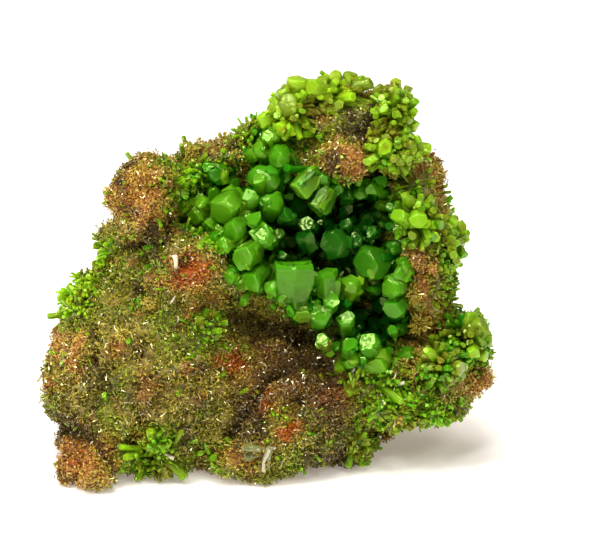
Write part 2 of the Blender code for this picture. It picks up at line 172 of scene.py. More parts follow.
# A spray outside the vug: the mounds that its crystals grow from, each large crystal's end, and how many
# small crystals stand between them, how wide those are and their tint.
Spray = namedtuple("Spray", "mounds ends small_count small_widths small_tint")
End = namedtuple("End", "across up deep width tint")
SPRAYS = {
    "crest_crystals": Spray(
        (Lump(3.4, 47.2, 2.6, 2.6, 3.0, 2.8), Lump(8.6, 49.4, 4.0, 4.2, 3.0, 2.0)),
        rows_of(
            End,
            (3.9, 51.4, 2.2, 3.0, 0.95),
            (1.9, 50.0, 1.8, 2.6, 0.80),
            (5.6, 50.2, 0.4, 2.4, 0.75),
            (0.6, 48.0, 1.4, 2.6, 0.70),
            (3.0, 48.2, -0.8, 2.8, 0.40),
            (7.0, 51.6, 3.2, 1.6, 0.85),
            (8.6, 51.9, 3.4, 2.0, 0.90),
            (10.6, 52.1, 3.6, 1.7, 0.60),
            (12.5, 51.6, 4.0, 1.2, 0.95),
            (-0.8, 45.8, 1.6, 2.2, 0.85),
            (13.1, 50.8, 2.2, 1.7, 0.40),
            (11.4, 51.2, 2.8, 1.4, 0.70),
        ),
        170,
        (0.5, 1.25),
        0.80,
    ),
    "rim_crystals": Spray(
        (Lump(16.0, 47.0, 1.0, 2.2, 3.2, 3.0), Lump(15.6, 42.4, -1.6, 3.2, 2.6, 2.6)),
        rows_of(
            End,
            (16.2, 51.0, 1.2, 1.3, 0.95),
            (13.8, 50.4, 1.8, 1.6, 0.45),
            (15.0, 50.2, 1.4, 1.5, 0.60),
            (17.3, 49.6, 0.6, 1.5, 0.80),
            (18.4, 47.2, 0.4, 1.8, 0.75),
            (18.7, 45.2, -0.2, 1.8, 0.90),
            (14.5, 47.4, -3.4, 1.5, 0.60),
            (14.6, 42.5, -5.2, 2.1, 0.75),
            (12.6, 40.8, -5.0, 1.7, 0.65),
            (16.8, 40.6, -4.6, 1.6, 0.50),
            (18.2, 42.6, -3.4, 1.7, 0.85),
            (20.4, 42.6, -1.2, 1.8, 0.90),
        ),
        270,
        (0.4, 1.1),
        0.55,
    ),
    "flank_crystals": Spray(
        (Lump(19.0, 33.4, -3.0, 2.8, 3.0, 2.8), Lump(22.6, 31.0, 0.0, 2.0, 3.4, 3.0)),
        rows_of(
            End,
            (16.2, 34.4, -6.6, 2.4, 0.52),
            (18.9, 33.6, -7.2, 2.5, 0.60),
            (24.6, 33.0, -0.4, 1.8, 0.85),
            (24.8, 29.6, -0.6, 1.6, 0.85),
            (24.9, 31.2, 1.2, 1.4, 0.80),
            (20.6, 36.4, -4.0, 1.3, 0.60),
            (17.0, 36.8, -5.6, 1.3, 0.60),
        ),
        150,
        (0.5, 1.3),
        0.55,
    ),
    "wing_crystals": Spray(
        (Lump(24.6, 18.8, -2.4, 2.6, 4.0, 2.8), Lump(21.6, 15.4, -6.4, 2.4, 2.4, 2.2)),
        rows_of(
            End,
            (25.7, 22.2, -3.0, 1.8, 0.65),
            (27.3, 20.6, -4.4, 2.8, 0.50),
            (28.4, 18.6, -2.4, 1.8, 0.60),
            (25.8, 17.0, -7.4, 1.8, 0.70),
            (27.6, 16.6, -5.0, 1.5, 0.85),
            (24.4, 15.2, -8.6, 2.1, 0.55),
            (19.8, 17.6, -9.4, 1.4, 0.70),
        ),
        260,
        (0.35, 0.95),
        0.22,
    ),
}

# A long crystal lying out from the rock: where its foot is seen, where it points, its size and tint.
Blade = namedtuple("Blade", "across up heading toward width length tint")
BLADES = rows_of(
    Blade,
    (-14.4, 5.2, 88, 15, 1.1, 2.8, 0.70),
    (-14.2, 5.2, 170, 12, 1.0, 3.4, 0.75),
    (-14.4, 4.6, 226, 15, 1.0, 2.8, 0.70),
    (-12.4, 4.0, 318, 15, 1.2, 3.0, 0.60),
    (-11.0, 2.0, 12, 12, 1.0, 3.0, 0.65),
    (-11.4, 5.6, 66, 20, 0.8, 2.4, 0.55),
    (-15.2, 3.4, 245, 35, 0.8, 2.0, 0.60),
    (-12.8, 5.0, 60, 40, 0.9, 2.0, 0.65),
    (-16.0, 3.4, 200, 20, 0.8, 2.4, 0.65),
    (-14.0, 6.2, 96, 30, 1.2, 1.8, 0.80),
    (-13.4, 5.0, 140, 35, 1.1, 1.8, 0.75),
    (-15.4, 4.6, 178, 30, 1.0, 1.8, 0.80),
    (-13.0, 3.4, 300, 35, 1.0, 1.8, 0.70),
    (-8.6, 2.2, 8, 15, 1.0, 2.6, 0.50),
    (-10.4, 40.6, 94, 25, 0.75, 3.0, 0.55),
    (-8.8, 40.2, 58, 25, 0.65, 2.2, 0.60),
    (-5.6, 37.2, 140, 35, 1.0, 2.6, 0.50),
    (-4.4, 41.2, 120, 35, 0.7, 2.0, 0.60),
    (-7.4, 38.4, 75, 35, 0.8, 2.2, 0.45),
    (-8.6, 35.4, 110, 45, 0.8, 2.4, 0.55),
    (-6.8, 34.2, 60, 45, 0.8, 2.4, 0.55),
    (-10.6, 36.6, 150, 40, 0.8, 2.2, 0.55),
    (-9.2, 33.6, 190, 45, 0.8, 2.0, 0.55),
    (-7.0, 32.0, 230, 45, 0.8, 2.0, 0.60),
    (-25.0, 22.0, 186, 8, 0.8, 2.4, 0.75),
    (-24.8, 22.8, 200, 25, 0.7, 1.4, 0.75),
    (-24.6, 24.0, 168, 25, 0.7, 1.4, 0.80),
    (-24.2, 25.6, 150, 35, 0.7, 1.3, 0.75),
    (-22.4, 27.4, 140, 35, 0.7, 1.3, 0.80),
    (-20.8, 28.8, 118, 35, 0.7, 1.2, 0.75),
    (-23.6, 24.8, 160, 50, 0.8, 1.2, 0.70),
    (-22.0, 26.2, 120, 50, 0.8, 1.2, 0.70),
    (-8.0, 20.6, 100, 50, 1.0, 1.8, 0.45),
    (-6.8, 20.0, 20, 50, 0.9, 1.6, 0.50),
    (21.4, 14.9, 2, 25, 1.9, 3.3, 0.30),
    (21.2, 17.0, 100, 30, 0.9, 2.8, 0.45),
    (22.4, 17.4, 80, 30, 0.8, 2.6, 0.40),
    (12.0, 16.6, 150, 35, 1.1, 3.0, 0.40),
    (13.8, 17.6, 60, 35, 0.9, 3.0, 0.40),
    (12.4, 13.4, 200, 35, 1.0, 2.6, 0.45),
    (14.6, 12.8, 330, 30, 1.0, 2.6, 0.55),
    (16.4, 19.6, 140, 30, 0.9, 2.8, 0.35),
    (16.0, 21.6, 155, 25, 0.8, 2.6, 0.35),
    (12.2, 6.0, 272, 8, 1.7, 3.0, 0.60),
    (11.0, 5.2, 250, 25, 1.0, 2.2, 0.45),
    (4.2, 46.4, 200, 45, 1.0, 2.0, 0.60),
    (6.4, 44.8, 180, 45, 0.9, 1.8, 0.60),
    (-3.6, 12.0, 40, 35, 0.5, 1.8, 0.50),
    (-19.6, 11.4, 100, 50, 0.8, 1.4, 0.45),
)
# A crystal broken across, pale where it is cracked: as a blade. The small rows of tint 0.9 and 1 are white slivers,
# most of them painted in place of glints: painted highlights.
BROKEN_AND_GLINT_BLADES = rows_of(
    Blade,
    (-0.8, 5.6, 178, 14, 1.3, 1.6, 0.00),
    (-0.9, 4.7, 186, 20, 1.0, 1.5, 0.06),
    (-0.4, 3.9, 64, 12, 0.6, 1.8, 0.15),
    (-0.2, 3.5, 78, 16, 0.5, 1.8, 0.60),
    (0.3, 3.4, 84, 14, 0.7, 1.7, 0.10),
    (0.0, 4.6, 50, 20, 0.4, 1.0, 0.50),
    (-10.8, 27.8, 100, 20, 0.45, 1.2, 1.00),
    (-12.5, 4.7, 345, 25, 0.45, 0.9, 1.00),
    (-11.0, 21.0, 65, 25, 0.25, 0.9, 1.00),
    (-11.6, 23.4, 60, 25, 0.25, 0.5, 1.00),
    (2.9, 22.6, 340, 25, 0.4, 0.6, 1.00),
    (15.9, 13.2, 20, 30, 0.4, 1.3, 0.90),
    (10.6, 14.6, 62, 40, 0.5, 0.7, 1.00),
)

# A zone of the show face: its middle, its reach across and up, and how strongly it holds.
Zone = namedtuple("Zone", "across up reach_across reach_up strength")
RUST_ZONES = rows_of(
    Zone,
    (-15.6, 36.6, 4.6, 5.0, 1.0),
    (-9.5, 27.4, 2.8, 2.8, 1.0),
    (-24.8, 17.5, 2.6, 3.0, 0.9),
    (-24.2, 3.6, 4.6, 3.4, 1.0),
    (-2.6, 4.6, 4.0, 2.0, 0.7),
    (3.0, 14.5, 8.5, 5.0, 0.75),
    (-13.0, 15.0, 6.0, 4.0, 0.15),
    (6.0, 47.9, 2.5, 1.5, 1.0),
    (9.8, 41.0, 3.0, 2.9, 1.0),
    (22.6, 37.9, 1.8, 1.4, 1.0),
    (18.4, 26.0, 3.4, 5.5, 1.0),
    (18.8, 22.4, 2.8, 3.0, 0.9),
    (19.2, 18.6, 3.0, 3.4, 0.7),
    (26.6, 13.4, 2.6, 2.4, 1.0),
    (17.4, 7.4, 3.0, 1.4, 0.8),
    (-12.0, 1.4, 6.0, 1.4, 0.8),
    (-8.0, 43.0, 5.0, 2.4, 0.5),
)
RED_ZONES = rows_of(
    Zone,
    (-9.5, 27.6, 2.4, 2.2, 1.0),
    (8.1, 11.9, 2.6, 2.4, 0.8),
    (2.9, 7.5, 1.4, 1.4, 0.9),
    (-4.6, 16.6, 1.8, 1.4, 0.9),
    (0.0, 11.2, 1.4, 1.1, 0.9),
    (3.0, 14.5, 4.0, 2.0, 0.35),
    (-23.0, 5.4, 3.0, 2.0, 0.35),
)
# Where the rock and its druse are dark: partly manganese stain, and partly painted shade under the vug's lip, below
# the knob and in crevices and recesses.
STAIN_AND_SHADE_ZONES = rows_of(
    Zone,
    (-17.1, 37.1, 1.2, 1.0, 0.9),
    (-16.6, 34.8, 1.2, 0.7, 0.7),
    (13.2, 50.2, 2.6, 0.9, 0.9),
    (12.5, 45.3, 3.4, 1.9, 1.0),
    (14.6, 39.4, 2.6, 1.2, 1.0),
    (-20.4, 13.8, 2.4, 3.0, 0.5),
    (-24.4, 8.0, 3.6, 3.0, 0.7),
    (-2.0, 9.6, 2.4, 4.0, 0.8),
    (-15.0, 12.0, 3.0, 2.4, 0.4),
    (-7.6, 11.0, 2.6, 2.0, 0.4),
    (4.0, 19.0, 7.0, 2.0, 0.8),
    (4.6, 14.8, 6.4, 3.8, 0.7),
    (7.6, 9.6, 3.8, 3.0, 0.6),
    (-3.4, 20.4, 2.6, 2.2, 0.5),
    (-14.2, 32.0, 1.2, 1.2, 1.0),
    (-9.6, 28.0, 0.9, 0.9, 1.0),
    (9.6, 4.4, 4.5, 2.2, 1.0),
    (-9.6, 41.4, 3.0, 1.4, 0.6),
)
# A crack in the rock, from end to end on the show face, with how wide and how deep it is. The rock and druse along
# it are painted darker: painted shade.
Crack = namedtuple("Crack", "across up to_across to_up half_width depth")
CRACKS = rows_of(
    Crack,
    (0.6, 14.6, -2.2, 10.6, 0.8, 1.3),
    (-2.2, 10.6, -4.6, 7.0, 0.9, 1.5),
    (-2.2, 10.6, -0.4, 8.2, 0.6, 1.0),
    (0.6, 14.6, 6.4, 16.6, 0.8, 1.1),
    (6.4, 16.6, 9.4, 12.6, 0.7, 0.9),
    (3.6, 11.6, 8.6, 10.4, 0.5, 0.8),
    (-12.0, 31.0, -17.6, 30.2, 0.7, 1.0),
    (-12.0, 31.0, -11.2, 36.8, 0.7, 1.0),
    (-21.6, 20.4, -20.2, 14.0, 0.7, 0.8),
    (-26.4, 7.8, -21.0, 6.2, 0.8, 1.1),
    (-21.0, 6.2, -18.4, 2.4, 0.6, 0.9),
    (-5.0, 21.6, 2.4, 20.2, 0.9, 0.9),
    (8.0, 45.0, 13.6, 44.4, 0.8, 0.9),
    (14.2, 39.6, 17.8, 38.8, 0.8, 1.1),
    (20.6, 12.6, 22.8, 10.0, 0.5, 0.7),
)
# A star of long straw-coloured needles.
Burst = namedtuple("Burst", "across up length count")
BURSTS = rows_of(
    Burst,
    (18.2, 15.6, 2.9, 420),
    (16.6, 17.6, 2.0, 200),
    (19.2, 20.8, 1.8, 200),
    (18.2, 24.6, 1.7, 200),
    (20.6, 18.6, 1.6, 160),
    (12.4, 48.4, 2.2, 220),
    (14.2, 48.8, 1.9, 180),
    (-5.6, 44.0, 1.5, 120),
    (-9.4, 42.2, 1.4, 120),
    (-14.4, 23.4, 1.2, 120),
    (-17.6, 19.6, 1.2, 120),
)
# Where the druse is as short as sand.
SANDY_ZONES = rows_of(
    Zone,
    (9.8, 45.6, 7.0, 6.0, 1.0),
    (-15.6, 36.6, 5.4, 6.0, 1.0),
    (-9.5, 27.4, 3.2, 3.2, 1.0),
    (-23.6, 4.0, 5.4, 4.4, 1.0),
    (26.6, 13.4, 2.8, 2.6, 1.0),
    (3.4, 12.5, 9.0, 8.0, 0.8),
    (-24.4, 17.4, 3.0, 3.4, 1.0),
    (18.4, 26.0, 3.4, 5.5, 0.5),
)
# The recesses of the vug, where the crystals are painted darker: painted shade.
PAINTED_SHADE_ZONES = rows_of(
    Zone,
    (9.2, 31.8, 8.0, 5.6, 1.0),
    (4.0, 33.0, 3.4, 3.6, 0.9),
    (13.8, 21.2, 2.8, 3.4, 1.0),
    (9.6, 19.8, 6.6, 3.6, 1.0),
)
# Where short green prisms crowd the rock.
GREEN_ZONES = rows_of(
    Zone,
    (-16.0, 38.6, 2.4, 1.4, 0.5),
    (-19.2, 31.4, 2.4, 2.0, 0.5),
    (-9.0, 37.6, 4.6, 5.0, 1.0),
    (-8.0, 34.6, 3.6, 4.6, 1.0),
    (-4.2, 43.2, 4.0, 2.6, 0.5),
    (-1.0, 44.4, 4.0, 3.2, 1.0),
    (-24.6, 25.2, 4.4, 4.0, 1.0),
    (-21.0, 29.4, 3.8, 2.4, 1.0),
    (-13.6, 4.6, 4.6, 3.6, 1.0),
    (-7.6, 20.8, 2.0, 2.0, 1.0),
    (-8.0, 31.6, 3.2, 2.0, 0.5),
    (9.8, 46.4, 6.0, 5.0, 0.5),
    (16.8, 45.6, 3.4, 5.6, 1.0),
    (17.6, 36.4, 4.0, 3.4, 0.9),
    (23.4, 30.6, 2.4, 6.4, 1.0),
    (22.8, 25.2, 2.2, 3.6, 1.0),
    (13.4, 14.8, 5.0, 3.6, 1.0),
    (18.4, 10.4, 7.0, 2.6, 1.0),
    (25.4, 18.8, 3.8, 4.4, 1.0),
    (11.6, 4.8, 2.4, 2.6, 1.0),
    (15.0, 20.4, 3.0, 2.4, 0.7),
    (4.6, 44.0, 3.0, 3.0, 0.65),
    (-27.0, 9.6, 1.6, 4.0, 0.3),
    (-3.0, 1.2, 5.5, 1.6, 0.5),
    (4.4, 3.4, 5.0, 1.8, 0.5),
    (-19.0, 10.6, 2.2, 4.6, 0.5),
    (-10.0, 18.0, 3.6, 3.6, 0.5),
    (-16.0, 28.0, 4.0, 2.0, 0.45),
)


def linear(code):
    """An sRGB hex colour as linear red, green, blue and alpha."""
    parts = [int(code[start:start + 2], 16) / 255 for start in (1, 3, 5)]
    return (*(part / 12.92 if part <= 0.04045 else ((part + 0.055) / 1.055) ** 2.4 for part in parts), 1.0)


def length_prop(name, description, default_mm):
    return FloatProperty(name=name, description=description, default=default_mm * MM, unit="LENGTH", precision=5)


def colour_prop(name, description, code):
    return FloatVectorProperty(
        name=name, description=description, default=linear(code), size=4, subtype="COLOR", min=0.0, max=1.0
    )


class SpecimenRock(bpy.types.PropertyGroup):
    voxel: length_prop("Grain of the mesh", "Spacing of the points of the rock's surface", 0.50)
    sink: length_prop("Room for the druse", "How far the rock lies under the solid's skin", 0.45)
    olive: colour_prop("Olive", "Earth between the druse on the green parts", "#928c2e")
    tan: colour_prop("Tan", "Pale limonite", "#b5925a")
    rust: colour_prop("Rust", "Orange-brown limonite", "#b06c34")
    red: colour_prop("Red", "Red-orange limonite", "#b4501c")
    # Dark is manganese stain, and also painted shade along the cracks and in the shaded zones.
    dark: colour_prop("Dark", "Manganese stain and clefts", "#3a2b1c")
    green: colour_prop("Green", "The wall of the vug and the ground of the green zones", "#1c6410")


class SpecimenCrystals(bpy.types.PropertyGroup):
    deep: colour_prop("Deep green", "Large crystals inside the vug", "#147008")
    bright: colour_prop("Yellow-green", "Crystals out on the crest and the rim", "#92b81a")
    cloudy: colour_prop("Cloudy", "Broken crystals", "#6c6c30")
    # This is also the whole colour of the small white slivers that are painted as glints.
    cracked_and_glint: colour_prop("Cracked", "Cracks and chips in the broken crystals", "#dcd4b6")
    # Painted shade: the darker green given to the crystals at the back of the vug, in place of the shade there.
    shade: colour_prop("Shade", "Clear crystals at the back of the vug", "#0f4c0c")
    stained: colour_prop("Stained", "Crystals under a film of iron oxide", "#6d6618")
    fillers: IntProperty(name="Vug fillers", description="Smaller crystals between the large ones", default=520)
    twins: IntProperty(name="Twins", description="Crystals grown together with each large one", default=4)
    beside: IntProperty(name="Beside", description="Smaller crystals round the foot of each large one", default=5)
    prisms: IntProperty(name="Prisms", description="Short prisms tried over the green zones", default=7400)


class SpecimenDruse(bpy.types.PropertyGroup):
    count: IntProperty(name="Needles", description="Needles on the show face", default=88000)
    back_count: IntProperty(name="Back needles", description="Needles on the back and the sides", default=32000)
    length: length_prop("Length", "Length of a needle that stands clear of the rock", 0.56)
    width: length_prop("Width", "Width of a needle across its end", 0.20)
    olive: colour_prop("Olive", "Druse over most of the dome", "#8f8e1e")
    tan: colour_prop("Tan", "Straw-coloured druse", "#d6c24e")
    green: colour_prop("Green", "Druse on the green parts", "#93b422")
    rust: colour_prop("Rust", "Druse stained by iron", "#d6853e")
    red: colour_prop("Red", "Druse on the red limonite", "#cc6820")
    # Dark is manganese stain, and also painted shade along the cracks and in the shaded zones.
    dark: colour_prop("Dark", "Druse over manganese stain", "#67512c")


class SpecimenStage(bpy.types.PropertyGroup):
    lens: FloatProperty(name="Lens", description="Focal length in millimetres", default=200.0, min=20.0)
    floor: colour_prop("Floor", "Plain pale sweep", "#fbf8f4")
    glow: FloatProperty(name="Glow", description="How brightly the sweep is lit from below", default=0.28, min=0.0)
    world: FloatProperty(name="Room", description="Strength of the room's light", default=0.18, min=0.0)
    overhead: FloatProperty(name="Overhead", description="Power of the soft light above, in watts", default=7.4)
    key: FloatProperty(name="Key", description="Power of the light from the upper left, in watts", default=0.75)
    spark: FloatProperty(name="Sparkle", description="Power of each small bright light, in watts", default=0.6)


def place(across, up, deep):
    """A place on the show face, in the frame's metres."""
    rise = (deep - TABLE_LINE_DEEP) * math.sin(FACE_LEAN)
    return Vector((across, deep, (up - rise) / math.cos(FACE_LEAN))) * MM


def middle(item):
    """Where a row of a table stands."""
    return place(item.across, item.up, item.deep)


def on_face(points):
    """How far across and up the show face each point is seen, in millimetres."""
    at = points / MM
    up = at[:, 2] * math.cos(FACE_LEAN) + (at[:, 1] - TABLE_LINE_DEEP) * math.sin(FACE_LEAN)
    return at[:, 0], up


def pointing(heading, toward):
    """The unit vector of a crystal that is read from the front."""
    clock, tip = math.radians(heading), math.radians(toward)
    return Vector((math.cos(tip) * math.cos(clock), -math.sin(tip), math.cos(tip) * math.sin(clock)))


def noise_at(points, size_mm, shift=0.0):
    """Smooth noise, about -1 to 1, with lumps of that size."""
    return np.array([noise.noise(point) for point in points / (size_mm * MM) + shift])


def smooth_step(low, high, values):
    """How far the values have come from low to high, 0 to 1, eased at both ends."""
    share = np.clip((values - low) / (high - low), 0, 1)
    return share * share * (3 - 2 * share)


def unit_rows(rows):
    return rows / np.maximum(np.linalg.norm(rows, axis=1, keepdims=True), 1e-12)


def zone_share(points, zones, ragged):
    """How far each point belongs to the zones, 0 to 1, with ragged edges. The far side has none."""
    across, up = on_face(points)
    across = across + 1.8 * noise_at(points, 3.2, 41.0)
    up = up + 1.8 * noise_at(points, 3.2, 57.0)
    best = np.zeros(len(points))
    for zone in zones:
        away = np.hypot((across - zone.across) / zone.reach_across, (up - zone.up) / zone.reach_up)
        best = np.maximum(best, zone.strength * (1 - smooth_step(0.4, 1.4, away + ragged)))
    return best * (1 - smooth_step(BACK_FROM + 2, BACK_FULL + 3, points[:, 1] / MM))


def stains(points):
    """The share of rust, red, dark and green at each point of the specimen's surface."""
    ragged = 0.45 * noise_at(points, 1.6) + 0.30 * noise_at(points, 0.6, 7.0)
    broad = noise_at(points, 7.0, 3.0)
    behind = smooth_step(BACK_FROM, BACK_FULL, points[:, 1] / MM)
    rust = np.maximum(zone_share(points, RUST_ZONES, ragged), behind * smooth_step(-0.15, 0.35, broad))
    rust = np.maximum(rust, 0.85 * smooth_step(0.22, 0.5, noise_at(points, 2.3, 11.0)))
    dark = 0.7 * smooth_step(0.3, 0.6, noise_at(points, 3.4, 19.0))
    # The dark zones hold painted shade as well as manganese stain.
    dark = np.maximum(zone_share(points, STAIN_AND_SHADE_ZONES, ragged), dark)
    red = np.maximum(zone_share(points, RED_ZONES, ragged), 0.5 * behind * smooth_step(0.25, 0.5, broad))
    green = zone_share(points, GREEN_ZONES, ragged)
    green = np.maximum(green, 0.55 * smooth_step(0.05, 0.45, noise_at(points, 3.8, 29.0) + 0.3 * ragged))
    return rust, red, dark, green


def crack_depth(points):
    """How deep the cracks are at each point, in millimetres; the far side has none."""
    across, up = on_face(points)
    across = across + 0.7 * noise_at(points, 1.4, 71.0)
    up = up + 0.7 * noise_at(points, 1.4, 83.0)
    deepest = np.zeros(len(points))
    for crack in CRACKS:
        run, rise = crack.to_across - crack.across, crack.to_up - crack.up
        share = ((across - crack.across) * run + (up - crack.up) * rise) / (run * run + rise * rise)
        share = np.clip(share, 0, 1)
        away = np.hypot(across - crack.across - share * run, up - crack.up - share * rise)
        deepest = np.maximum(deepest, crack.depth * (1 - smooth_step(0.3, 1.3, away / crack.half_width)))
    return deepest * (1 - smooth_step(-4.0, 4.0, points[:, 1] / MM))


def sandy(points):
    """How far the druse at each point is short and sandy, as it is all over the far side."""
    behind = smooth_step(BACK_FROM, BACK_FULL, points[:, 1] / MM)
    return np.maximum(zone_share(points, SANDY_ZONES, 0.0), 0.75 * behind)


def stain_of(points, widths):
    """How much iron oxide a crystal's end carries: most on the small ones, and none in the vug."""
    rust, red, dark, green = stains(points)
    small = 1 - smooth_step(0.6, 1.4, widths / MM)
    film = 0.55 * smooth_step(-0.25, 0.45, noise_at(points, 1.8, 37.0))
    # The dark share carries painted shade too, so crystal ends in the shaded zones take more of the stained colour.
    return np.clip(np.maximum(rust, dark) * (0.25 + 0.6 * small) + film, 0, 1) * ~in_vug(points, 0.5)


def shade_of(points):
    """How deep in the vug's recesses a crystal's end lies: the crystals at the back of it are painted dark as
    shade, and unstained.
    """
    return smooth_step(-8.5, -3.0, points[:, 1] / MM) * zone_share(points, PAINTED_SHADE_ZONES, 0.0)


def in_vug(points, grow=0.0):
    """True where a point lies in the hollow, grown all round by that many millimetres."""
    inside = np.zeros(len(points), bool)
    for lump in VUG:
        halves = np.array((lump.half_x, lump.half_y, lump.half_z)) + grow
        away = (points - np.array(middle(lump))) / MM / halves
        inside |= (away * away).sum(axis=1) < 1
    return inside


def new_object(name, mesh):
    """An object with that mesh, in the scene."""
    made = bpy.data.objects.new(name, mesh)
    bpy.context.scene.collection.objects.link(made)
    return made


def settle(obj):
    """Applies an object's modifiers to its mesh."""
    mesh = bpy.data.meshes.new_from_object(obj.evaluated_get(bpy.context.evaluated_depsgraph_get()))
    obj.modifiers.clear()
    obj.data = mesh


def points_of(mesh):
    flat = np.empty(len(mesh.vertices) * 3, np.float32)
    mesh.vertices.foreach_get("co", flat)
    return flat.reshape(-1, 3).astype(float)


def set_share(mesh, name, values):
    """Keeps one number for each point, which the materials read by name."""
    mesh.attributes.new(name, "FLOAT", "POINT").data.foreach_set("value", np.asarray(values, np.float32))


def crystal_shape(levels, hopper=0.0, chamfer=0.0, sides=6, rounded=False):
    """The unit crystal: half width 1, from a point at height 0 to a flat or sunken end at height 1.

    levels are (height, half width). Returns its points, its faces as lists of point numbers, and the
    angle from which its edges are sharp.
    """
    corners = [np.array((math.cos(turn), math.sin(turn))) for turn in np.arange(sides) * math.tau / sides]
    if chamfer:
        rim = []
        for number, corner in enumerate(corners):
            for other in (corners[number - 1], corners[(number + 1) % sides]):
                rim.append(corner * (1 - chamfer) + other * chamfer)
    else:
        rim = corners
    sides = len(rim)
    rings = list(levels)
    if hopper:
        height, half = rings[-1]
        rings += [(height, half * 0.74), (height - hopper, half * 0.60)]
    points = [np.array((0, 0, 0))]
    for height, half in rings:
        points += [np.array((*(corner * half), height)) for corner in rim]
    faces = [(0, 1 + (side + 1) % sides, 1 + side) for side in range(sides)]
    for ring in range(len(rings) - 1):
        low, high = 1 + ring * sides, 1 + (ring + 1) * sides
        for side in range(sides):
            after = (side + 1) % sides
            faces.append((low + side, low + after, high + after, high + side))
    last = 1 + (len(rings) - 1) * sides
    faces.append(tuple(range(last, last + sides)))
    return np.array(points), faces, math.radians(34 if rounded else 24)


NEEDLE = crystal_shape(((1.0, 1.0),), sides=3)
PRISM = crystal_shape(((0.3, 0.96), (1.0, 0.9)))
FORMS = {
    "barrel": crystal_shape(
        ((0.06, 0.62), (0.3, 0.86), (0.52, 0.98), (0.7, 1.0), (0.86, 0.95), (0.96, 0.86), (1.0, 0.74)),
        chamfer=0.12,
        rounded=True,
    ),
    "hopper": crystal_shape(
        ((0.06, 0.6), (0.3, 0.84), (0.55, 0.98), (0.78, 1.0), (0.94, 0.94), (1.0, 0.86)),
        hopper=0.07,
        chamfer=0.12,
    ),
    "bud": crystal_shape(
        ((0.06, 0.6), (0.35, 0.86), (0.6, 1.0), (0.78, 0.98), (0.9, 0.84), (0.97, 0.62), (1.0, 0.4)),
        chamfer=0.18,
        rounded=True,
    ),
    "flared": crystal_shape(
        ((0.05, 0.45), (0.2, 0.72), (0.4, 0.88), (0.65, 0.97), (0.9, 1.0), (0.97, 0.99), (1.0, 0.93)),
        hopper=0.03,
        chamfer=0.08,
    ),
    "block": crystal_shape(((0.06, 0.8), (0.4, 0.96), (0.8, 1.0), (0.96, 0.96), (1.0, 0.88)), chamfer=0.08),
}


def grow_crystals(name, shape, roots, tips, widths, tints, seed, jag=0.0):
    """Joins copies of a unit crystal into one mesh, each set from its root to its tip.

    jag is how far, in millimetres, their corners are shaken out of true.
    """
    points, faces, sharp_from = shape
    dice = np.random.default_rng(seed)
    count = len(roots)
    axes = tips - roots
    lengths = np.linalg.norm(axes, axis=1)
    along = axes / lengths[:, None]
    helper = np.where(np.abs(along[:, 2:3]) < 0.9, (0.0, 0.0, 1.0), (1.0, 0.0, 0.0))
    side = unit_rows(np.cross(helper, along))
    front = np.cross(along, side)
    spin = dice.uniform(0, math.tau, count)
    turned = np.cos(spin)[:, None] * side + np.sin(spin)[:, None] * front
    across = np.cross(along, turned)
    flat = dice.uniform(0.86, 1.14, count)
    halves = widths / 2
    place_of = (
        roots[:, None, :]
        + points[None, :, 0:1] * (turned * (halves * flat)[:, None])[:, None, :]
        + points[None, :, 1:2] * (across * (halves / flat)[:, None])[:, None, :]
        + points[None, :, 2:3] * axes[:, None, :]
    ).reshape(-1, 3)
    if jag:
        # Without a seed, noise_vector takes its own from the clock.
        noise.seed_set(1)
        place_of = place_of + jag * MM * np.array([noise.noise_vector(point) for point in place_of / (1.1 * MM)])
    place_of[:, 2] = np.maximum(place_of[:, 2], 0.02 * MM)
    loops = np.concatenate([np.array(face) for face in faces])
    sizes = np.array([len(face) for face in faces])
    starts = np.concatenate(([0], np.cumsum(sizes)[:-1]))
    mesh = bpy.data.meshes.new(name)
    mesh.vertices.add(count * len(points))
    mesh.vertices.foreach_set("co", place_of.astype(np.float32).ravel())
    mesh.loops.add(count * len(loops))
    every = loops[None, :] + (np.arange(count) * len(points))[:, None]
    mesh.loops.foreach_set("vertex_index", every.astype(np.int32).ravel())
    mesh.polygons.add(count * len(faces))
    every = starts[None, :] + (np.arange(count) * len(loops))[:, None]
    mesh.polygons.foreach_set("loop_start", every.astype(np.int32).ravel())
    mesh.update(calc_edges=True)
    mesh.validate()
    mesh.set_sharp_from_angle(angle=sharp_from)
    set_share(mesh, "tint", np.repeat(tints, len(points)))
    set_share(mesh, "stain", np.repeat(stain_of(tips, widths), len(points)))
    # The deep share is painted shade, for the crystals in the vug's recesses.
    set_share(mesh, "deep", np.repeat(shade_of(tips), len(points)))
    # The reach runs from 0 at a crystal's root to 1 at its end; the materials turn it into painted shade at the
    # roots.
    set_share(mesh, "reach", np.tile(points[:, 2], count))
    set_share(mesh, "height", (points[None, :, 2] * lengths[:, None]).ravel() / MM)
    return mesh


def join_meshes(name, meshes):
    """One mesh of several, with their points' numbers kept."""
    bm = bmesh.new()
    for mesh in meshes:
        bm.from_mesh(mesh)
        bpy.data.meshes.remove(mesh)
    joined = bpy.data.meshes.new(name)
    bm.to_mesh(joined)
    bm.free()
    return joined


def above_table(roots, tips, *others):
    """The crystals whose two ends are clear of the table."""
    clear = np.minimum(roots[:, 2], tips[:, 2]) > TABLE_GAP_MM * MM
    return [rows[clear] for rows in (roots, tips, *others)]


def lean_of_tufts(feet, dice):
    """How each needle leans: away from the middle of the tuft that it stands in."""
    hearts = feet[dice.choice(len(feet), size=max(1, len(feet) // NEEDLES_PER_TUFT), replace=False)]
    tree = KDTree(len(hearts))
    for number, heart in enumerate(hearts):
        tree.insert(heart, number)
    tree.balance()
    nearest = np.array([tree.find(foot)[0] for foot in feet])
    return np.clip((feet - nearest) / (TUFT_REACH_MM * MM), -1.2, 1.2)


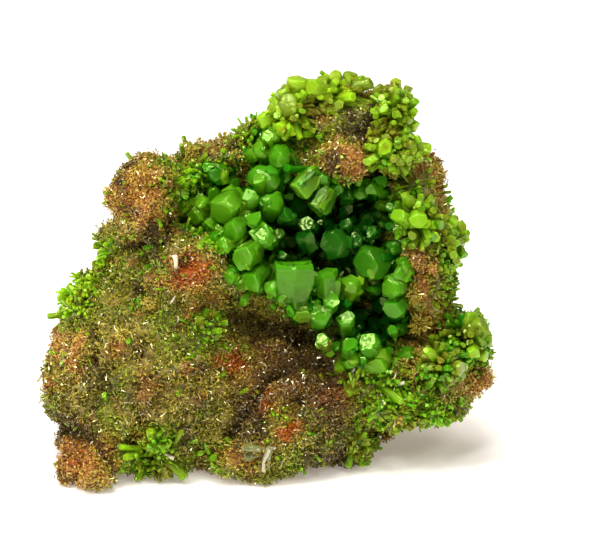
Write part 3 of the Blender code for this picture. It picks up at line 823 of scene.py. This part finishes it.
class Skin:
    """The finished rock's surface: for points spread over it, and for what a line of sight meets."""

    def __init__(self, mesh):
        mesh.calc_loop_triangles()
        corners = np.empty(len(mesh.loop_triangles) * 3, np.int32)
        mesh.loop_triangles.foreach_get("vertices", corners)
        points = points_of(mesh)
        self.corners = points[corners.reshape(-1, 3)]
        cross = np.cross(self.corners[:, 1] - self.corners[:, 0], self.corners[:, 2] - self.corners[:, 0])
        self.areas = np.linalg.norm(cross, axis=1) / 2
        self.normals = unit_rows(cross)
        self.centres = self.corners.mean(axis=1)
        self.tree = BVHTree.FromPolygons(points.tolist(), corners.reshape(-1, 3).tolist())

    def seen_at(self, across, up):
        """The point of the surface that is seen there from the front, or the nearest where it is missed."""
        hit = self.tree.ray_cast(place(across, up, -SIGHT_MM), INWARD)[0]
        return hit or self.tree.find_nearest(place(across, up, 0))[0]

    def scatter(self, count, chance, dice):
        """That many points, spread by area times chance, with the normal at each."""
        share = self.areas * chance
        picked = dice.choice(len(share), size=count, p=share / share.sum())
        first, second = np.sqrt(dice.random(count)), dice.random(count)
        weights = np.stack((1 - first, first * (1 - second), first * second), axis=1)
        return (self.corners[picked] * weights[:, :, None]).sum(axis=1), self.normals[picked]


def add_node(tree, kind, inputs=None, output=0, **settings):
    """Adds a node with its settings, sets or links its inputs, and gives the output asked for."""
    made = tree.nodes.new(kind)
    for name, value in settings.items():
        setattr(made, name, value)
    for name, value in (inputs or {}).items():
        if isinstance(value, bpy.types.NodeSocket):
            tree.links.new(value, made.inputs[name])
        else:
            made.inputs[name].default_value = value
    return made.outputs[output]


def start_material(name, **finish):
    """An empty material, and its Principled shader with that finish."""
    made = bpy.data.materials.new(name)
    made.use_nodes = True
    shader = made.node_tree.nodes["Principled BSDF"]
    for socket, value in finish.items():
        shader.inputs[socket.replace("_", " ")].default_value = value
    return made, made.node_tree, shader


def gossan_material(look):
    """Gossan, broken by hand: earthy and dull, stained from olive to rust, dark with manganese stain, and painted
    dark as shade along its cracks and in shaded zones.
    """
    made, tree, shader = start_material("gossan_broken", Roughness=0.85)
    where = add_node(tree, "ShaderNodeTexCoord", output="Object")
    # Grains of a third of a millimetre, and blotches of 2 mm.
    grain = {"Vector": where, "Scale": 1 / (0.35 * MM), "Detail": 4.0, "Roughness": 0.6}
    grain = add_node(tree, "ShaderNodeTexNoise", grain, "Fac")
    blotch = {"Vector": where, "Scale": 1 / (2.0 * MM), "Detail": 3.0}
    blotch = add_node(tree, "ShaderNodeTexNoise", blotch, "Fac")
    paler = add_node(tree, "ShaderNodeMapRange", {"Value": grain, "From Min": 0.35, "From Max": 0.7}, "Result")
    darker = add_node(tree, "ShaderNodeMapRange", {"Value": blotch, "From Min": 0.46, "From Max": 0.34}, "Result")
    colour = tuple(look.olive)
    for share, over in (
        (paler, look.tan),
        ("rust", look.rust),
        ("red", look.red),
        (darker, look.dark),
        ("dark", look.dark),
        ("green", look.green),
    ):
        if isinstance(share, str):
            share = add_node(tree, "ShaderNodeAttribute", None, "Fac", attribute_name=share)
        colour = add_node(tree, "ShaderNodeMix", {0: share, 6: colour, 7: tuple(over)}, 2, data_type="RGBA")
    tree.links.new(colour, shader.inputs["Base Color"])
    rough = {"Height": grain, "Strength": 0.8, "Distance": 0.2 * MM}
    tree.links.new(add_node(tree, "ShaderNodeBump", rough, "Normal"), shader.inputs["Normal"])
    return made


def crystal_material(name, look, roughness):
    """Pyromorphite, as grown: resinous faces with fine growth lines across, lit a little from within, with painted
    shade toward the roots and in the vug's recesses.
    """
    made, tree, shader = start_material(
        name,
        Roughness=roughness,
        IOR=1.55,
        Specular_Tint=(0.78, 1.0, 0.3, 1.0),
        Subsurface_Weight=0.75,
        Subsurface_Radius=(0.4, 1.0, 0.15),
        Subsurface_Scale=1.3 * MM,
    )
    tint, stain, deep, reach, height = [
        add_node(tree, "ShaderNodeAttribute", None, "Fac", attribute_name=share)
        for share in ("tint", "stain", "deep", "reach", "height")
    ]
    where = add_node(tree, "ShaderNodeTexCoord", output="Object")
    # Clouds of 1.4 mm, and growth lines about 0.4 mm apart: the height is in millimetres.
    cloud = add_node(tree, "ShaderNodeTexNoise", {"Vector": where, "Scale": 1 / (1.4 * MM), "Detail": 3.0}, "Fac")
    lines = {"W": height, "Scale": 2.6, "Detail": 3.0}
    lines = add_node(tree, "ShaderNodeTexNoise", lines, "Fac", noise_dimensions="1D")
    colour = {0: tint, 6: tuple(look.deep), 7: tuple(look.bright)}
    colour = add_node(tree, "ShaderNodeMix", colour, 2, data_type="RGBA")
    colour = {0: stain, 6: colour, 7: tuple(look.stained)}
    colour = add_node(tree, "ShaderNodeMix", colour, 2, data_type="RGBA")
    # Painted shade: a crystal's colour is darker toward its root, down among the others, and paler toward its end;
    # the paler clouds differ at random.
    paler = add_node(tree, "ShaderNodeHueSaturation", {"Color": colour, "Value": 1.15}, "Color")
    darker = add_node(tree, "ShaderNodeHueSaturation", {"Color": colour, "Value": 0.45}, "Color")
    clear_of_root_shade = add_node(tree, "ShaderNodeMapRange", {"Value": reach, "From Min": 0.25, "From Max": 1.0}, "Result")
    cloudy = add_node(tree, "ShaderNodeMapRange", {"Value": cloud, "From Min": 0.35, "From Max": 0.9}, "Result")
    colour = darker
    # The deep share mixes in the painted shade of the vug's recesses.
    for share, over in ((clear_of_root_shade, paler), (cloudy, paler), (deep, tuple(look.shade))):
        colour = add_node(tree, "ShaderNodeMix", {0: share, 6: colour, 7: over}, 2, data_type="RGBA")
    tree.links.new(colour, shader.inputs["Base Color"])
    normal = add_node(tree, "ShaderNodeBump", {"Height": lines, "Strength": 0.6, "Distance": 0.12 * MM}, "Normal")
    wavy = {"Height": cloud, "Normal": normal, "Strength": 0.35, "Distance": 0.5 * MM}
    tree.links.new(add_node(tree, "ShaderNodeBump", wavy, "Normal"), shader.inputs["Normal"])
    return made


def broken_and_glint_material(look):
    """Pyromorphite, broken across: pale and cloudy, whitest along its cracks. Blades of full tint are white all
    over, as painted glints.
    """
    made, tree, shader = start_material(
        "pyromorphite_broken_and_glints",
        Roughness=0.3,
        IOR=1.6,
        Subsurface_Weight=0.3,
        Subsurface_Radius=(0.6, 1.0, 0.4),
        Subsurface_Scale=0.8 * MM,
    )
    tint = add_node(tree, "ShaderNodeAttribute", None, "Fac", attribute_name="tint")
    where = add_node(tree, "ShaderNodeTexCoord", output="Object")
    # Cracks about 0.6 mm apart.
    cracks = {"Vector": where, "Scale": 1 / (0.6 * MM), "Detail": 4.0, "Roughness": 0.6}
    cracks = add_node(tree, "ShaderNodeTexNoise", cracks, "Fac")
    split = add_node(tree, "ShaderNodeMapRange", {"Value": cracks, "From Min": 0.56, "From Max": 0.78}, "Result")
    colour = tuple(look.cloudy)
    for share in (tint, split):
        colour = {0: share, 6: colour, 7: tuple(look.cracked_and_glint)}
        colour = add_node(tree, "ShaderNodeMix", colour, 2, data_type="RGBA")
    tree.links.new(colour, shader.inputs["Base Color"])
    rough = {"Height": cracks, "Strength": 0.7, "Distance": 0.2 * MM}
    tree.links.new(add_node(tree, "ShaderNodeBump", rough, "Normal"), shader.inputs["Normal"])
    return made


def druse_material(look):
    """Pyromorphite druse, as grown: a glittering coat, olive where it is clean and rusty where it is stained, with
    painted shade toward the needles' roots and, through the dark share, along cracks and in shaded zones.
    """
    made, tree, shader = start_material(
        "pyromorphite_druse", Roughness=0.12, IOR=1.8, Specular_Tint=(1.0, 0.93, 0.6, 1.0)
    )
    tint, reach = [
        add_node(tree, "ShaderNodeAttribute", None, "Fac", attribute_name=share) for share in ("tint", "reach")
    ]
    straw = add_node(tree, "ShaderNodeMapRange", {"Value": tint, "From Min": 0.55, "From Max": 1.0}, "Result")
    strong = add_node(tree, "ShaderNodeMapRange", {"Value": tint, "From Min": 0.45, "From Max": 1.1}, "Result")
    rusty = {0: strong, 6: tuple(look.rust), 7: tuple(look.tan)}
    rusty = add_node(tree, "ShaderNodeMix", rusty, 2, data_type="RGBA")
    colour = {0: straw, 6: tuple(look.olive), 7: tuple(look.tan)}
    colour = add_node(tree, "ShaderNodeMix", colour, 2, data_type="RGBA")
    # The dark share is manganese stain and painted shade together.
    for share, over in (
        ("green", tuple(look.green)),
        ("rust", rusty),
        ("red", tuple(look.red)),
        ("dark", tuple(look.dark)),
    ):
        share = add_node(tree, "ShaderNodeAttribute", None, "Fac", attribute_name=share)
        colour = add_node(tree, "ShaderNodeMix", {0: share, 6: colour, 7: over}, 2, data_type="RGBA")
    # Painted shade: a needle is darker toward its root, down among the others, and paler at its tip; its tint gives
    # a brightness that differs at random.
    depth = add_node(tree, "ShaderNodeMapRange", {"Value": reach, "From Min": -0.7, "From Max": 1.0}, "Result")
    mixed = add_node(tree, "ShaderNodeMapRange", {"Value": tint, "To Min": 0.34, "To Max": 0.94}, "Result")
    value = add_node(tree, "ShaderNodeMath", {0: depth, 1: mixed}, "Value", operation="MULTIPLY")
    colour = add_node(tree, "ShaderNodeHueSaturation", {"Color": colour, "Value": value}, "Color")
    tree.links.new(colour, shader.inputs["Base Color"])
    return made


def wear(obj, material, *replaced, slot):
    """Gives a finished piece its material, its body and the solids that it stands for."""
    obj.data.materials.clear()
    obj.data.materials.append(material)
    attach(obj, "root")
    if replaced:
        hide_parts(*replaced)


class OBJECT_OT_specimen_rock(bpy.types.Operator):
    """Makes the gossan's broken surface on the solid rock, a little under its skin"""

    bl_idname = "object.specimen_rock"
    bl_label = "Gossan rock"

    def execute(self, context):
        look = context.scene.specimen_rock
        bm = bmesh.new()
        bm.from_mesh(NODES["gossan_matrix"].data)
        bmesh.ops.remove_doubles(bm, verts=bm.verts, dist=0.001 * MM)
        mesh = bpy.data.meshes.new("gossan_rock")
        bm.to_mesh(mesh)
        bm.free()
        rock = new_object("gossan_rock", mesh)
        skin = rock.modifiers.new("skin", "REMESH")
        skin.mode = "VOXEL"
        skin.voxel_size = look.voxel
        ease = rock.modifiers.new("ease", "SMOOTH")
        ease.iterations = 4
        settle(rock)
        mesh = rock.data
        points = points_of(mesh)
        normals = np.array([vert.normal for vert in mesh.vertices])
        lumps = 0.85 * noise_at(points, 2.8) + 0.55 * noise_at(points, 1.2, 5.0)
        pits = -1.2 * smooth_step(0.25, 0.5, noise_at(points, 2.0, 23.0))
        cracks = crack_depth(points)
        points += normals * ((lumps + pits - cracks) * MM - look.sink)[:, None]
        # The knob runs into the ridge.
        across, up = on_face(points)
        joined = 1 - smooth_step(0.5, 1.3, np.hypot((across + 11.9) / 2.2, (up - 39.4) / 2.0))
        points += normals * (1.2 * MM * joined)[:, None]
        # The front stands clear of the table to the left of the foot.
        x, y, z = points.T / MM
        clear = smooth_step(2.5, 5.5, x) * (1 - smooth_step(9.5, 11.0, x)) * (1 - smooth_step(-9.0, -4.0, y))
        points[:, 2] += 2.0 * MM * clear * (1 - smooth_step(0.0, 4.5, z))
        points[:, 2] = np.maximum(points[:, 2], 0.0)
        mesh.vertices.foreach_set("co", points.astype(np.float32).ravel())
        rust, red, dark, green = stains(points)
        # Painted shade: the rock is painted dark along its cracks.
        dark = np.maximum(dark, smooth_step(0.3, 0.9, cracks))
        lined = in_vug(points, 0.8)
        for name, values in (("rust", rust), ("red", red), ("dark", dark)):
            set_share(mesh, name, values * ~lined)
        set_share(mesh, "green", np.maximum(0.6 * green, lined))
        mesh.update()
        wear(rock, gossan_material(look), "gossan_matrix", slot="gossan")
        return {"FINISHED"}


def rock_skin():
    return Skin(bpy.data.objects["gossan_rock"].data)


def bare_rock(skin):
    """True for each face of the rock that the vug's crust leaves bare."""
    return ~in_vug(skin.centres, 0.2) | (on_face(skin.centres)[0] < VUG_RIM_LEFT)


def one_row(*values):
    """Each value as an array of one row, to grow a single crystal from."""
    return [np.array([value], float) for value in values]


def tints_about(middle_tint, spread, count, dice):
    """That many tints, drawn about one in the middle."""
    return np.clip(dice.normal(middle_tint, spread, count), 0, 1)


class OBJECT_OT_specimen_vug(bpy.types.Operator):
    """Lines the vug with a crust of large barrel crystals"""

    bl_idname = "object.specimen_vug"
    bl_label = "Vug crystals"

    def execute(self, context):
        look = context.scene.specimen_crystals
        dice = np.random.default_rng(11)
        skin = rock_skin()
        grown = []
        for number, crystal in enumerate(VUG_CRYSTALS):
            tip = middle(crystal)
            direction = pointing(crystal.heading, crystal.toward)
            length = 0.9 * crystal.width + 0.6
            foot = tip - direction * length * MM
            rows = one_row(foot, tip, crystal.width * MM, crystal.tint)
            grown.append(grow_crystals("large", FORMS[crystal.form], *rows, seed=number, jag=0.45))
            # Smaller ones that grew with it, along its sides.
            count = look.twins
            aside = unit_rows(np.cross(dice.normal(size=(count, 3)), direction))
            aside = aside * crystal.width * dice.uniform(0.26, 0.40, (count, 1)) * MM
            # Those of the largest stand behind it.
            aside[:, 1] = np.where(crystal.width > 5, np.abs(aside[:, 1]), aside[:, 1])
            axis = np.array(direction) * length * MM
            tips = np.array(tip) + aside - axis * dice.uniform(-0.03, 0.4, (count, 1))
            tips = tips + dice.normal(size=(count, 3)) * 0.05 * MM
            size = crystal.width * dice.uniform(0.25, 0.52, count) * MM
            tint = tints_about(crystal.tint, 0.1, count, dice)
            rows = (np.array(foot) + aside * 0.7, tips, size, tint)
            grown.append(grow_crystals("twins", FORMS["block"], *rows, seed=number + 200, jag=0.3))
            near, facing = skin.tree.find_nearest(foot)[:2]
            if (foot - near).dot(facing) < 0:
                continue
            # Its foot is clear of the wall, so it stands on a stem with others round it.
            back = (INWARD - direction * 0.2).normalized()
            root = np.array((skin.tree.ray_cast(foot, back)[0] or near) + back * CRYSTAL_ROOT_MM * MM)
            heart = np.array(foot.lerp(tip, 0.35))
            girth = min(crystal.width, 3.2)
            rows = one_row(root, heart, girth * 0.7 * MM, crystal.tint * 0.5)
            grown.append(grow_crystals("stem", FORMS["block"], *rows, seed=number + 30, jag=0.6))
            count = look.beside
            aside = dice.normal(size=(count, 3)) * girth * 0.42 * MM
            aside[:, 1] = np.abs(aside[:, 1])
            along = np.array(foot) + axis * dice.uniform(0.0, 0.5, (count, 1))
            size = girth * dice.uniform(0.3, 0.6, count) * MM
            tint = tints_about(crystal.tint * 0.8, 0.12, count, dice)
            rows = (np.tile(root, (count, 1)), along + aside, size, tint)
            grown.append(grow_crystals("beside", FORMS["block"], *rows, seed=number + 100, jag=0.4))
        across = on_face(skin.centres)[0]
        chance = in_vug(skin.centres, 0.5) * (skin.normals[:, 1] < 0.5) * (across > -7.2)
        feet, normals = skin.scatter(look.fillers, chance, dice)
        aside = dice.normal(size=feet.shape) * 0.32
        direction = unit_rows(normals * 0.9 + np.array((0.0, -0.75, 0.2)) + aside)
        width = (0.7 + 1.6 * dice.random(len(feet)) ** 1.4) * MM
        length = width * dice.uniform(0.9, 1.5, len(feet)) + 0.5 * MM
        tint = tints_about(0.18, 0.12, len(feet), dice)
        roots, tips = feet - direction * CRYSTAL_ROOT_MM * MM, feet + direction * length[:, None]
        for turn, form in enumerate(("block", "barrel", "bud")):
            every = slice(turn, None, 3)
            rows = (roots[every], tips[every], width[every], tint[every])
            grown.append(grow_crystals("small", FORMS[form], *rows, seed=turn + 60, jag=0.4))
        crust = new_object("vug_crystals", join_meshes("vug_crystals", grown))
        material = crystal_material("pyromorphite_barrels", look, 0.12)
        wear(crust, material, "vug_crystal_crust", slot="pyromorphite")
        return {"FINISHED"}


class OBJECT_OT_specimen_sprays(bpy.types.Operator):
    """Grows the crystal sprays of the crest, the rim, the flank and the wing"""

    bl_idname = "object.specimen_sprays"
    bl_label = "Outer sprays"

    def execute(self, context):
        look = context.scene.specimen_crystals
        material = crystal_material("pyromorphite_sprays", look, 0.14)
        for seed, (name, spray) in enumerate(SPRAYS.items()):
            dice = np.random.default_rng(seed)
            tips = np.array([middle(end) for end in spray.ends])
            centres = np.array([middle(mound) for mound in spray.mounds])
            halves = np.array([(mound.half_x, mound.half_y, mound.half_z) for mound in spray.mounds]) * MM
            apart = np.linalg.norm((tips[:, None] - centres[None]) / halves[None], axis=2)
            own = apart.argmin(axis=1)
            spread = unit_rows(dice.normal(size=tips.shape)) * halves[own] * 0.3
            roots = centres[own] * 0.75 + tips * 0.25 + spread
            widths = np.array([end.width for end in spray.ends]) * MM
            tints = np.array([end.tint for end in spray.ends])
            large = grow_crystals("large", FORMS["barrel"], roots, tips, widths, tints, seed=seed, jag=0.35)
            count = spray.small_count
            picks = dice.integers(0, len(centres), count)
            around = unit_rows(dice.normal(size=(count, 3)) - np.array((0.0, 0.5, -0.1)))
            reach = dice.uniform(0.1, 1.2, count) * MM
            tips = centres[picks] + around * (halves[picks] + reach[:, None])
            roots = centres[picks] + unit_rows(around + dice.normal(size=(count, 3)) * 0.3) * halves[picks] * 0.6
            widths = dice.uniform(*spray.small_widths, count) * MM
            tints = tints_about(spray.small_tint, 0.15, count, dice)
            small = grow_crystals("small", FORMS["block"], roots, tips, widths, tints, seed=seed + 40, jag=0.2)
            made = new_object(name + "_fine", join_meshes(name + "_fine", [large, small]))
            wear(made, material, name, slot="pyromorphite")
        return {"FINISHED"}


def grow_blades(name, blades, skin, seed, jag):
    """Grows each blade from where the line of sight to its foot meets the rock, with its end clear of the rock."""
    feet = [skin.seen_at(blade.across, blade.up) for blade in blades]
    pointings = [pointing(blade.heading, blade.toward) for blade in blades]
    roots = np.array([foot - way * CRYSTAL_ROOT_MM * MM for foot, way in zip(feet, pointings)])
    tips = []
    for foot, way, blade in zip(feet, pointings, blades):
        tip = foot + way * (blade.length + 0.4) * MM
        under = skin.tree.ray_cast(tip - INWARD * SIGHT_MM * MM, INWARD)[0]
        if under and (under - tip).dot(INWARD) < BLADE_GAP_MM * MM:
            tip = under - INWARD * BLADE_GAP_MM * MM
        tips.append(tip)
    tips = np.array(tips)
    widths = np.array([blade.width for blade in blades]) * MM
    tints = np.array([blade.tint for blade in blades])
    return grow_crystals(name, FORMS["block"], roots, tips, widths, tints, seed=seed, jag=jag)


class OBJECT_OT_specimen_blades(bpy.types.Operator):
    """Lays the long green crystals and the broken pale ones on the rock"""

    bl_idname = "object.specimen_blades"
    bl_label = "Blades and broken crystals"

    def execute(self, context):
        skin = rock_skin()
        mesh = grow_blades("green_blades", BLADES, skin, seed=5, jag=0.12)
        material = crystal_material("pyromorphite_blades", context.scene.specimen_crystals, 0.16)
        wear(new_object("green_blades", mesh), material, slot="pyromorphite")
        # The broken crystal, and white slivers painted as glints.
        mesh = grow_blades("broken_crystals_and_glints", BROKEN_AND_GLINT_BLADES, skin, seed=6, jag=0.5)
        material = broken_and_glint_material(context.scene.specimen_crystals)
        wear(new_object("broken_crystals_and_glints", mesh), material, slot="pyromorphite")
        return {"FINISHED"}


class OBJECT_OT_specimen_prisms(bpy.types.Operator):
    """Crowds the green zones of the rock with short prisms"""

    bl_idname = "object.specimen_prisms"
    bl_label = "Short prisms"

    def execute(self, context):
        look = context.scene.specimen_crystals
        dice = np.random.default_rng(21)
        skin = rock_skin()
        green = np.maximum(stains(skin.centres)[3] - 0.5, 0) * 2
        bare = bare_rock(skin)
        chance = green * bare + 0.012 * bare
        feet, normals = skin.scatter(look.prisms, chance, dice)
        aside = 0.6 * lean_of_tufts(feet, dice) + dice.normal(size=feet.shape) * 0.25
        direction = unit_rows(normals + aside)
        length = dice.uniform(0.5, 1.6, len(feet)) * MM
        width = dice.uniform(0.22, 0.62, len(feet)) * MM
        # Those at the left edge, out in the light, are yellower.
        yellower = 0.4 * (1 - smooth_step(-22.0, -17.0, feet[:, 0] / MM))
        tint = np.clip(dice.normal(0.44, 0.18, len(feet)) + yellower, 0, 1)
        roots = feet - direction * PRISM_ROOT_MM * MM
        rows = above_table(roots, feet + direction * length[:, None], width, tint)
        mesh = grow_crystals("short_prisms", PRISM, *rows, seed=3)
        material = crystal_material("pyromorphite_prisms", look, 0.12)
        wear(new_object("short_prisms", mesh), material, slot="pyromorphite")
        return {"FINISHED"}


class OBJECT_OT_specimen_druse(bpy.types.Operator):
    """Coats the rock with a druse of fine needles"""

    bl_idname = "object.specimen_druse"
    bl_label = "Fine druse"

    def execute(self, context):
        look = context.scene.specimen_druse
        dice = np.random.default_rng(31)
        skin = rock_skin()
        clear = bare_rock(skin) & (skin.centres[:, 2] > 0.4 * MM)
        faces_front = skin.normals[:, 1] < 0.25
        near = skin.centres[:, 1] < 6 * MM
        front = clear & faces_front & near
        crowded = 1 + 0.9 * sandy(skin.centres)
        crowded *= 1 - 0.8 * smooth_step(0.6, 0.95, stains(skin.centres)[3])
        material = druse_material(look)
        hearts, ways = [], []
        for burst in BURSTS:
            heart = skin.seen_at(burst.across, burst.up) - INWARD * 0.5 * burst.length * MM
            around = dice.normal(size=(burst.count, 3)) - np.array((0.0, 0.9, -0.1))
            hearts.append(np.tile(np.array(heart), (burst.count, 1)))
            ways.append(unit_rows(around) * (burst.length * dice.uniform(0.5, 1.0, burst.count) * MM)[:, None])
        hearts, ways = np.concatenate(hearts), np.concatenate(ways)
        width = dice.uniform(0.7, 1.2, len(hearts)) * look.width
        rows = above_table(hearts, hearts + ways, width, dice.uniform(0.8, 1.1, len(hearts)))
        mesh = grow_crystals("druse_bursts", NEEDLE, *rows, seed=9)
        for share in ("rust", "red", "dark", "green"):
            set_share(mesh, share, np.full(len(mesh.vertices), 0.05))
        wear(new_object("druse_bursts", mesh), material, slot="pyromorphite")
        for name, count, chance in (
            ("druse_dome", int(look.count * 0.42), front & (skin.centres[:, 0] < -8 * MM)),
            ("druse_middle", int(look.count * 0.30), front & (np.abs(skin.centres[:, 0] + 1 * MM) < 7 * MM)),
            ("druse_right", int(look.count * 0.28), front & (skin.centres[:, 0] > 6 * MM)),
            ("druse_back", look.back_count, clear & ~front),
        ):
            feet, normals = skin.scatter(count, chance * crowded, dice)
            lean = lean_of_tufts(feet, dice)
            direction = unit_rows(normals * 0.8 + lean + dice.normal(size=feet.shape) * 0.4)
            below = (direction * normals).sum(axis=1) < 0.15
            direction[below] = unit_rows(direction[below] + normals[below])
            flat = dice.random(count) < LYING_SHARE
            lying = np.cross(normals, dice.normal(size=feet.shape)) + normals * 0.25
            direction[flat] = unit_rows(lying[flat])
            feet[flat] += normals[flat] * (dice.uniform(0.25, 0.6, flat.sum()) * MM)[:, None]
            short = np.clip(np.maximum(sandy(feet), crack_depth(feet)), 0, 1)
            size = dice.uniform(0.6, 1.35, count)
            length = look.length * size * dice.uniform(0.6, 1.2, count) * (1 - 0.6 * short)
            width = look.width * size * (1 + 0.3 * short)
            tint = np.where(flat, dice.uniform(0.6, 1.0, count), dice.random(count))
            roots = feet - direction * DRUSE_ROOT_MM * MM
            rows = above_table(roots, feet + direction * length[:, None], width, tint)
            mesh = grow_crystals(name, NEEDLE, *rows, seed=count)
            rust, red, dark, green = stains(rows[0])
            # Painted shade: the needles are painted dark along the cracks.
            dark = np.maximum(dark, smooth_step(0.3, 0.9, crack_depth(rows[0])))
            for share, values in (("rust", rust), ("red", red), ("dark", dark), ("green", green)):
                mingled = np.clip(values * 1.3 + dice.normal(0, 0.22, len(values)) * (values > 0.03), 0, 1)
                set_share(mesh, share, np.repeat(mingled, len(NEEDLE[0])))
            wear(new_object(name, mesh), material, slot="pyromorphite")
        return {"FINISHED"}


class OBJECT_OT_specimen_stage(bpy.types.Operator):
    """Sets the pale floor, the soft light and the camera"""

    bl_idname = "object.specimen_stage"
    bl_label = "Stage"

    def execute(self, context):
        look = context.scene.specimen_stage
        scene = context.scene
        bpy.ops.mesh.primitive_plane_add(size=6.0, location=(0, 0, -0.02 * MM))
        floor = context.object
        floor.name = "floor"
        finish = {"Base_Color": tuple(look.floor), "Roughness": 0.9, "Emission_Color": linear(GLOW_COLOUR)}
        card = start_material("card_matt", Emission_Strength=look.glow, **finish)[0]
        floor.data.materials.append(card)
        world = bpy.data.worlds.new("studio")
        scene.world = world
        world.use_nodes = True
        room = world.node_tree.nodes["Background"]
        room.inputs["Color"].default_value = linear(ROOM_COLOUR)
        room.inputs["Strength"].default_value = look.world
        middle_of = Vector((0, 0, 24 * MM))
        # Each lamp: its place and size in metres, and its power.
        for name, where, size, power in (
            ("overhead", (-0.10, -0.05, 1.0), 0.60, look.overhead),
            ("key", (-0.26, -0.24, 0.42), 0.10, look.key),
            ("spark_left", (-0.12, -0.42, 0.38), 0.10, look.spark),
            ("spark_right", (0.18, -0.40, 0.34), 0.10, look.spark),
            ("spark_top", (0.02, -0.28, 0.50), 0.10, look.spark),
            ("spark_high", (-0.10, -0.05, 0.55), 0.10, look.spark),
            ("spark_side", (-0.38, -0.22, 0.30), 0.10, look.spark),
        ):
            data = bpy.data.lights.new(name, "AREA")
            data.size = size
            data.energy = power
            lamp = bpy.data.objects.new(name, data)
            lamp.location = where
            lamp.rotation_euler = (middle_of - lamp.location).to_track_quat("-Z", "Y").to_euler()
            scene.collection.objects.link(lamp)
        data = bpy.data.cameras.new("camera")
        data.lens = look.lens
        data.sensor_width = SENSOR_MM
        data.clip_start = 10 * MM
        camera = bpy.data.objects.new("camera", data)
        scene.collection.objects.link(camera)
        across = (PHOTO_WIDTH / 2 - PHOTO_MIDDLE) / PIXELS_PER_MM
        up = (PHOTO_TABLE - PHOTO_HEIGHT / 2) / PIXELS_PER_MM
        away = PHOTO_WIDTH / PIXELS_PER_MM * MM * look.lens / SENSOR_MM
        camera.location = place(across, up, FRAMED_DEEP) - INWARD * away
        camera.rotation_euler = INWARD.to_track_quat("-Z", "Y").to_euler()
        scene.camera = camera
        scene.view_settings.view_transform = "Standard"
        return {"FINISHED"}


class VIEW3D_PT_specimen(bpy.types.Panel):
    """Lists the specimen's pieces and their sizes and colours"""

    bl_label = "Pyromorphite specimen"
    bl_space_type = "VIEW_3D"
    bl_region_type = "UI"
    bl_category = "Specimen"

    def draw(self, context):
        for group, operators in PANEL_ROWS:
            box = self.layout.box()
            look = getattr(context.scene, group)
            for name in look.__annotations__:
                box.prop(look, name)
            for operator in operators:
                box.operator(operator)


GROUPS = {
    "specimen_rock": SpecimenRock,
    "specimen_crystals": SpecimenCrystals,
    "specimen_druse": SpecimenDruse,
    "specimen_stage": SpecimenStage,
}
CRYSTAL_OPERATORS = (
    "object.specimen_vug",
    "object.specimen_sprays",
    "object.specimen_prisms",
    "object.specimen_blades",
)
PANEL_ROWS = (
    ("specimen_rock", ("object.specimen_rock",)),
    ("specimen_crystals", CRYSTAL_OPERATORS),
    ("specimen_druse", ("object.specimen_druse",)),
    ("specimen_stage", ("object.specimen_stage",)),
)
CLASSES = (
    *GROUPS.values(),
    OBJECT_OT_specimen_rock,
    OBJECT_OT_specimen_vug,
    OBJECT_OT_specimen_sprays,
    OBJECT_OT_specimen_prisms,
    OBJECT_OT_specimen_blades,
    OBJECT_OT_specimen_druse,
    OBJECT_OT_specimen_stage,
    VIEW3D_PT_specimen,
)


def register():
    for made in CLASSES:
        bpy.utils.register_class(made)
    for name, group in GROUPS.items():
        setattr(bpy.types.Scene, name, PointerProperty(type=group))


def unregister():
    for name in GROUPS:
        delattr(bpy.types.Scene, name)
    for made in reversed(CLASSES):
        bpy.utils.unregister_class(made)


def main():
    register()
    bpy.ops.object.specimen_rock()
    bpy.ops.object.specimen_vug()
    bpy.ops.object.specimen_sprays()
    bpy.ops.object.specimen_prisms()
    bpy.ops.object.specimen_blades()
    bpy.ops.object.specimen_druse()
    bpy.ops.object.specimen_stage()


if __name__ == "__main__":
    main()
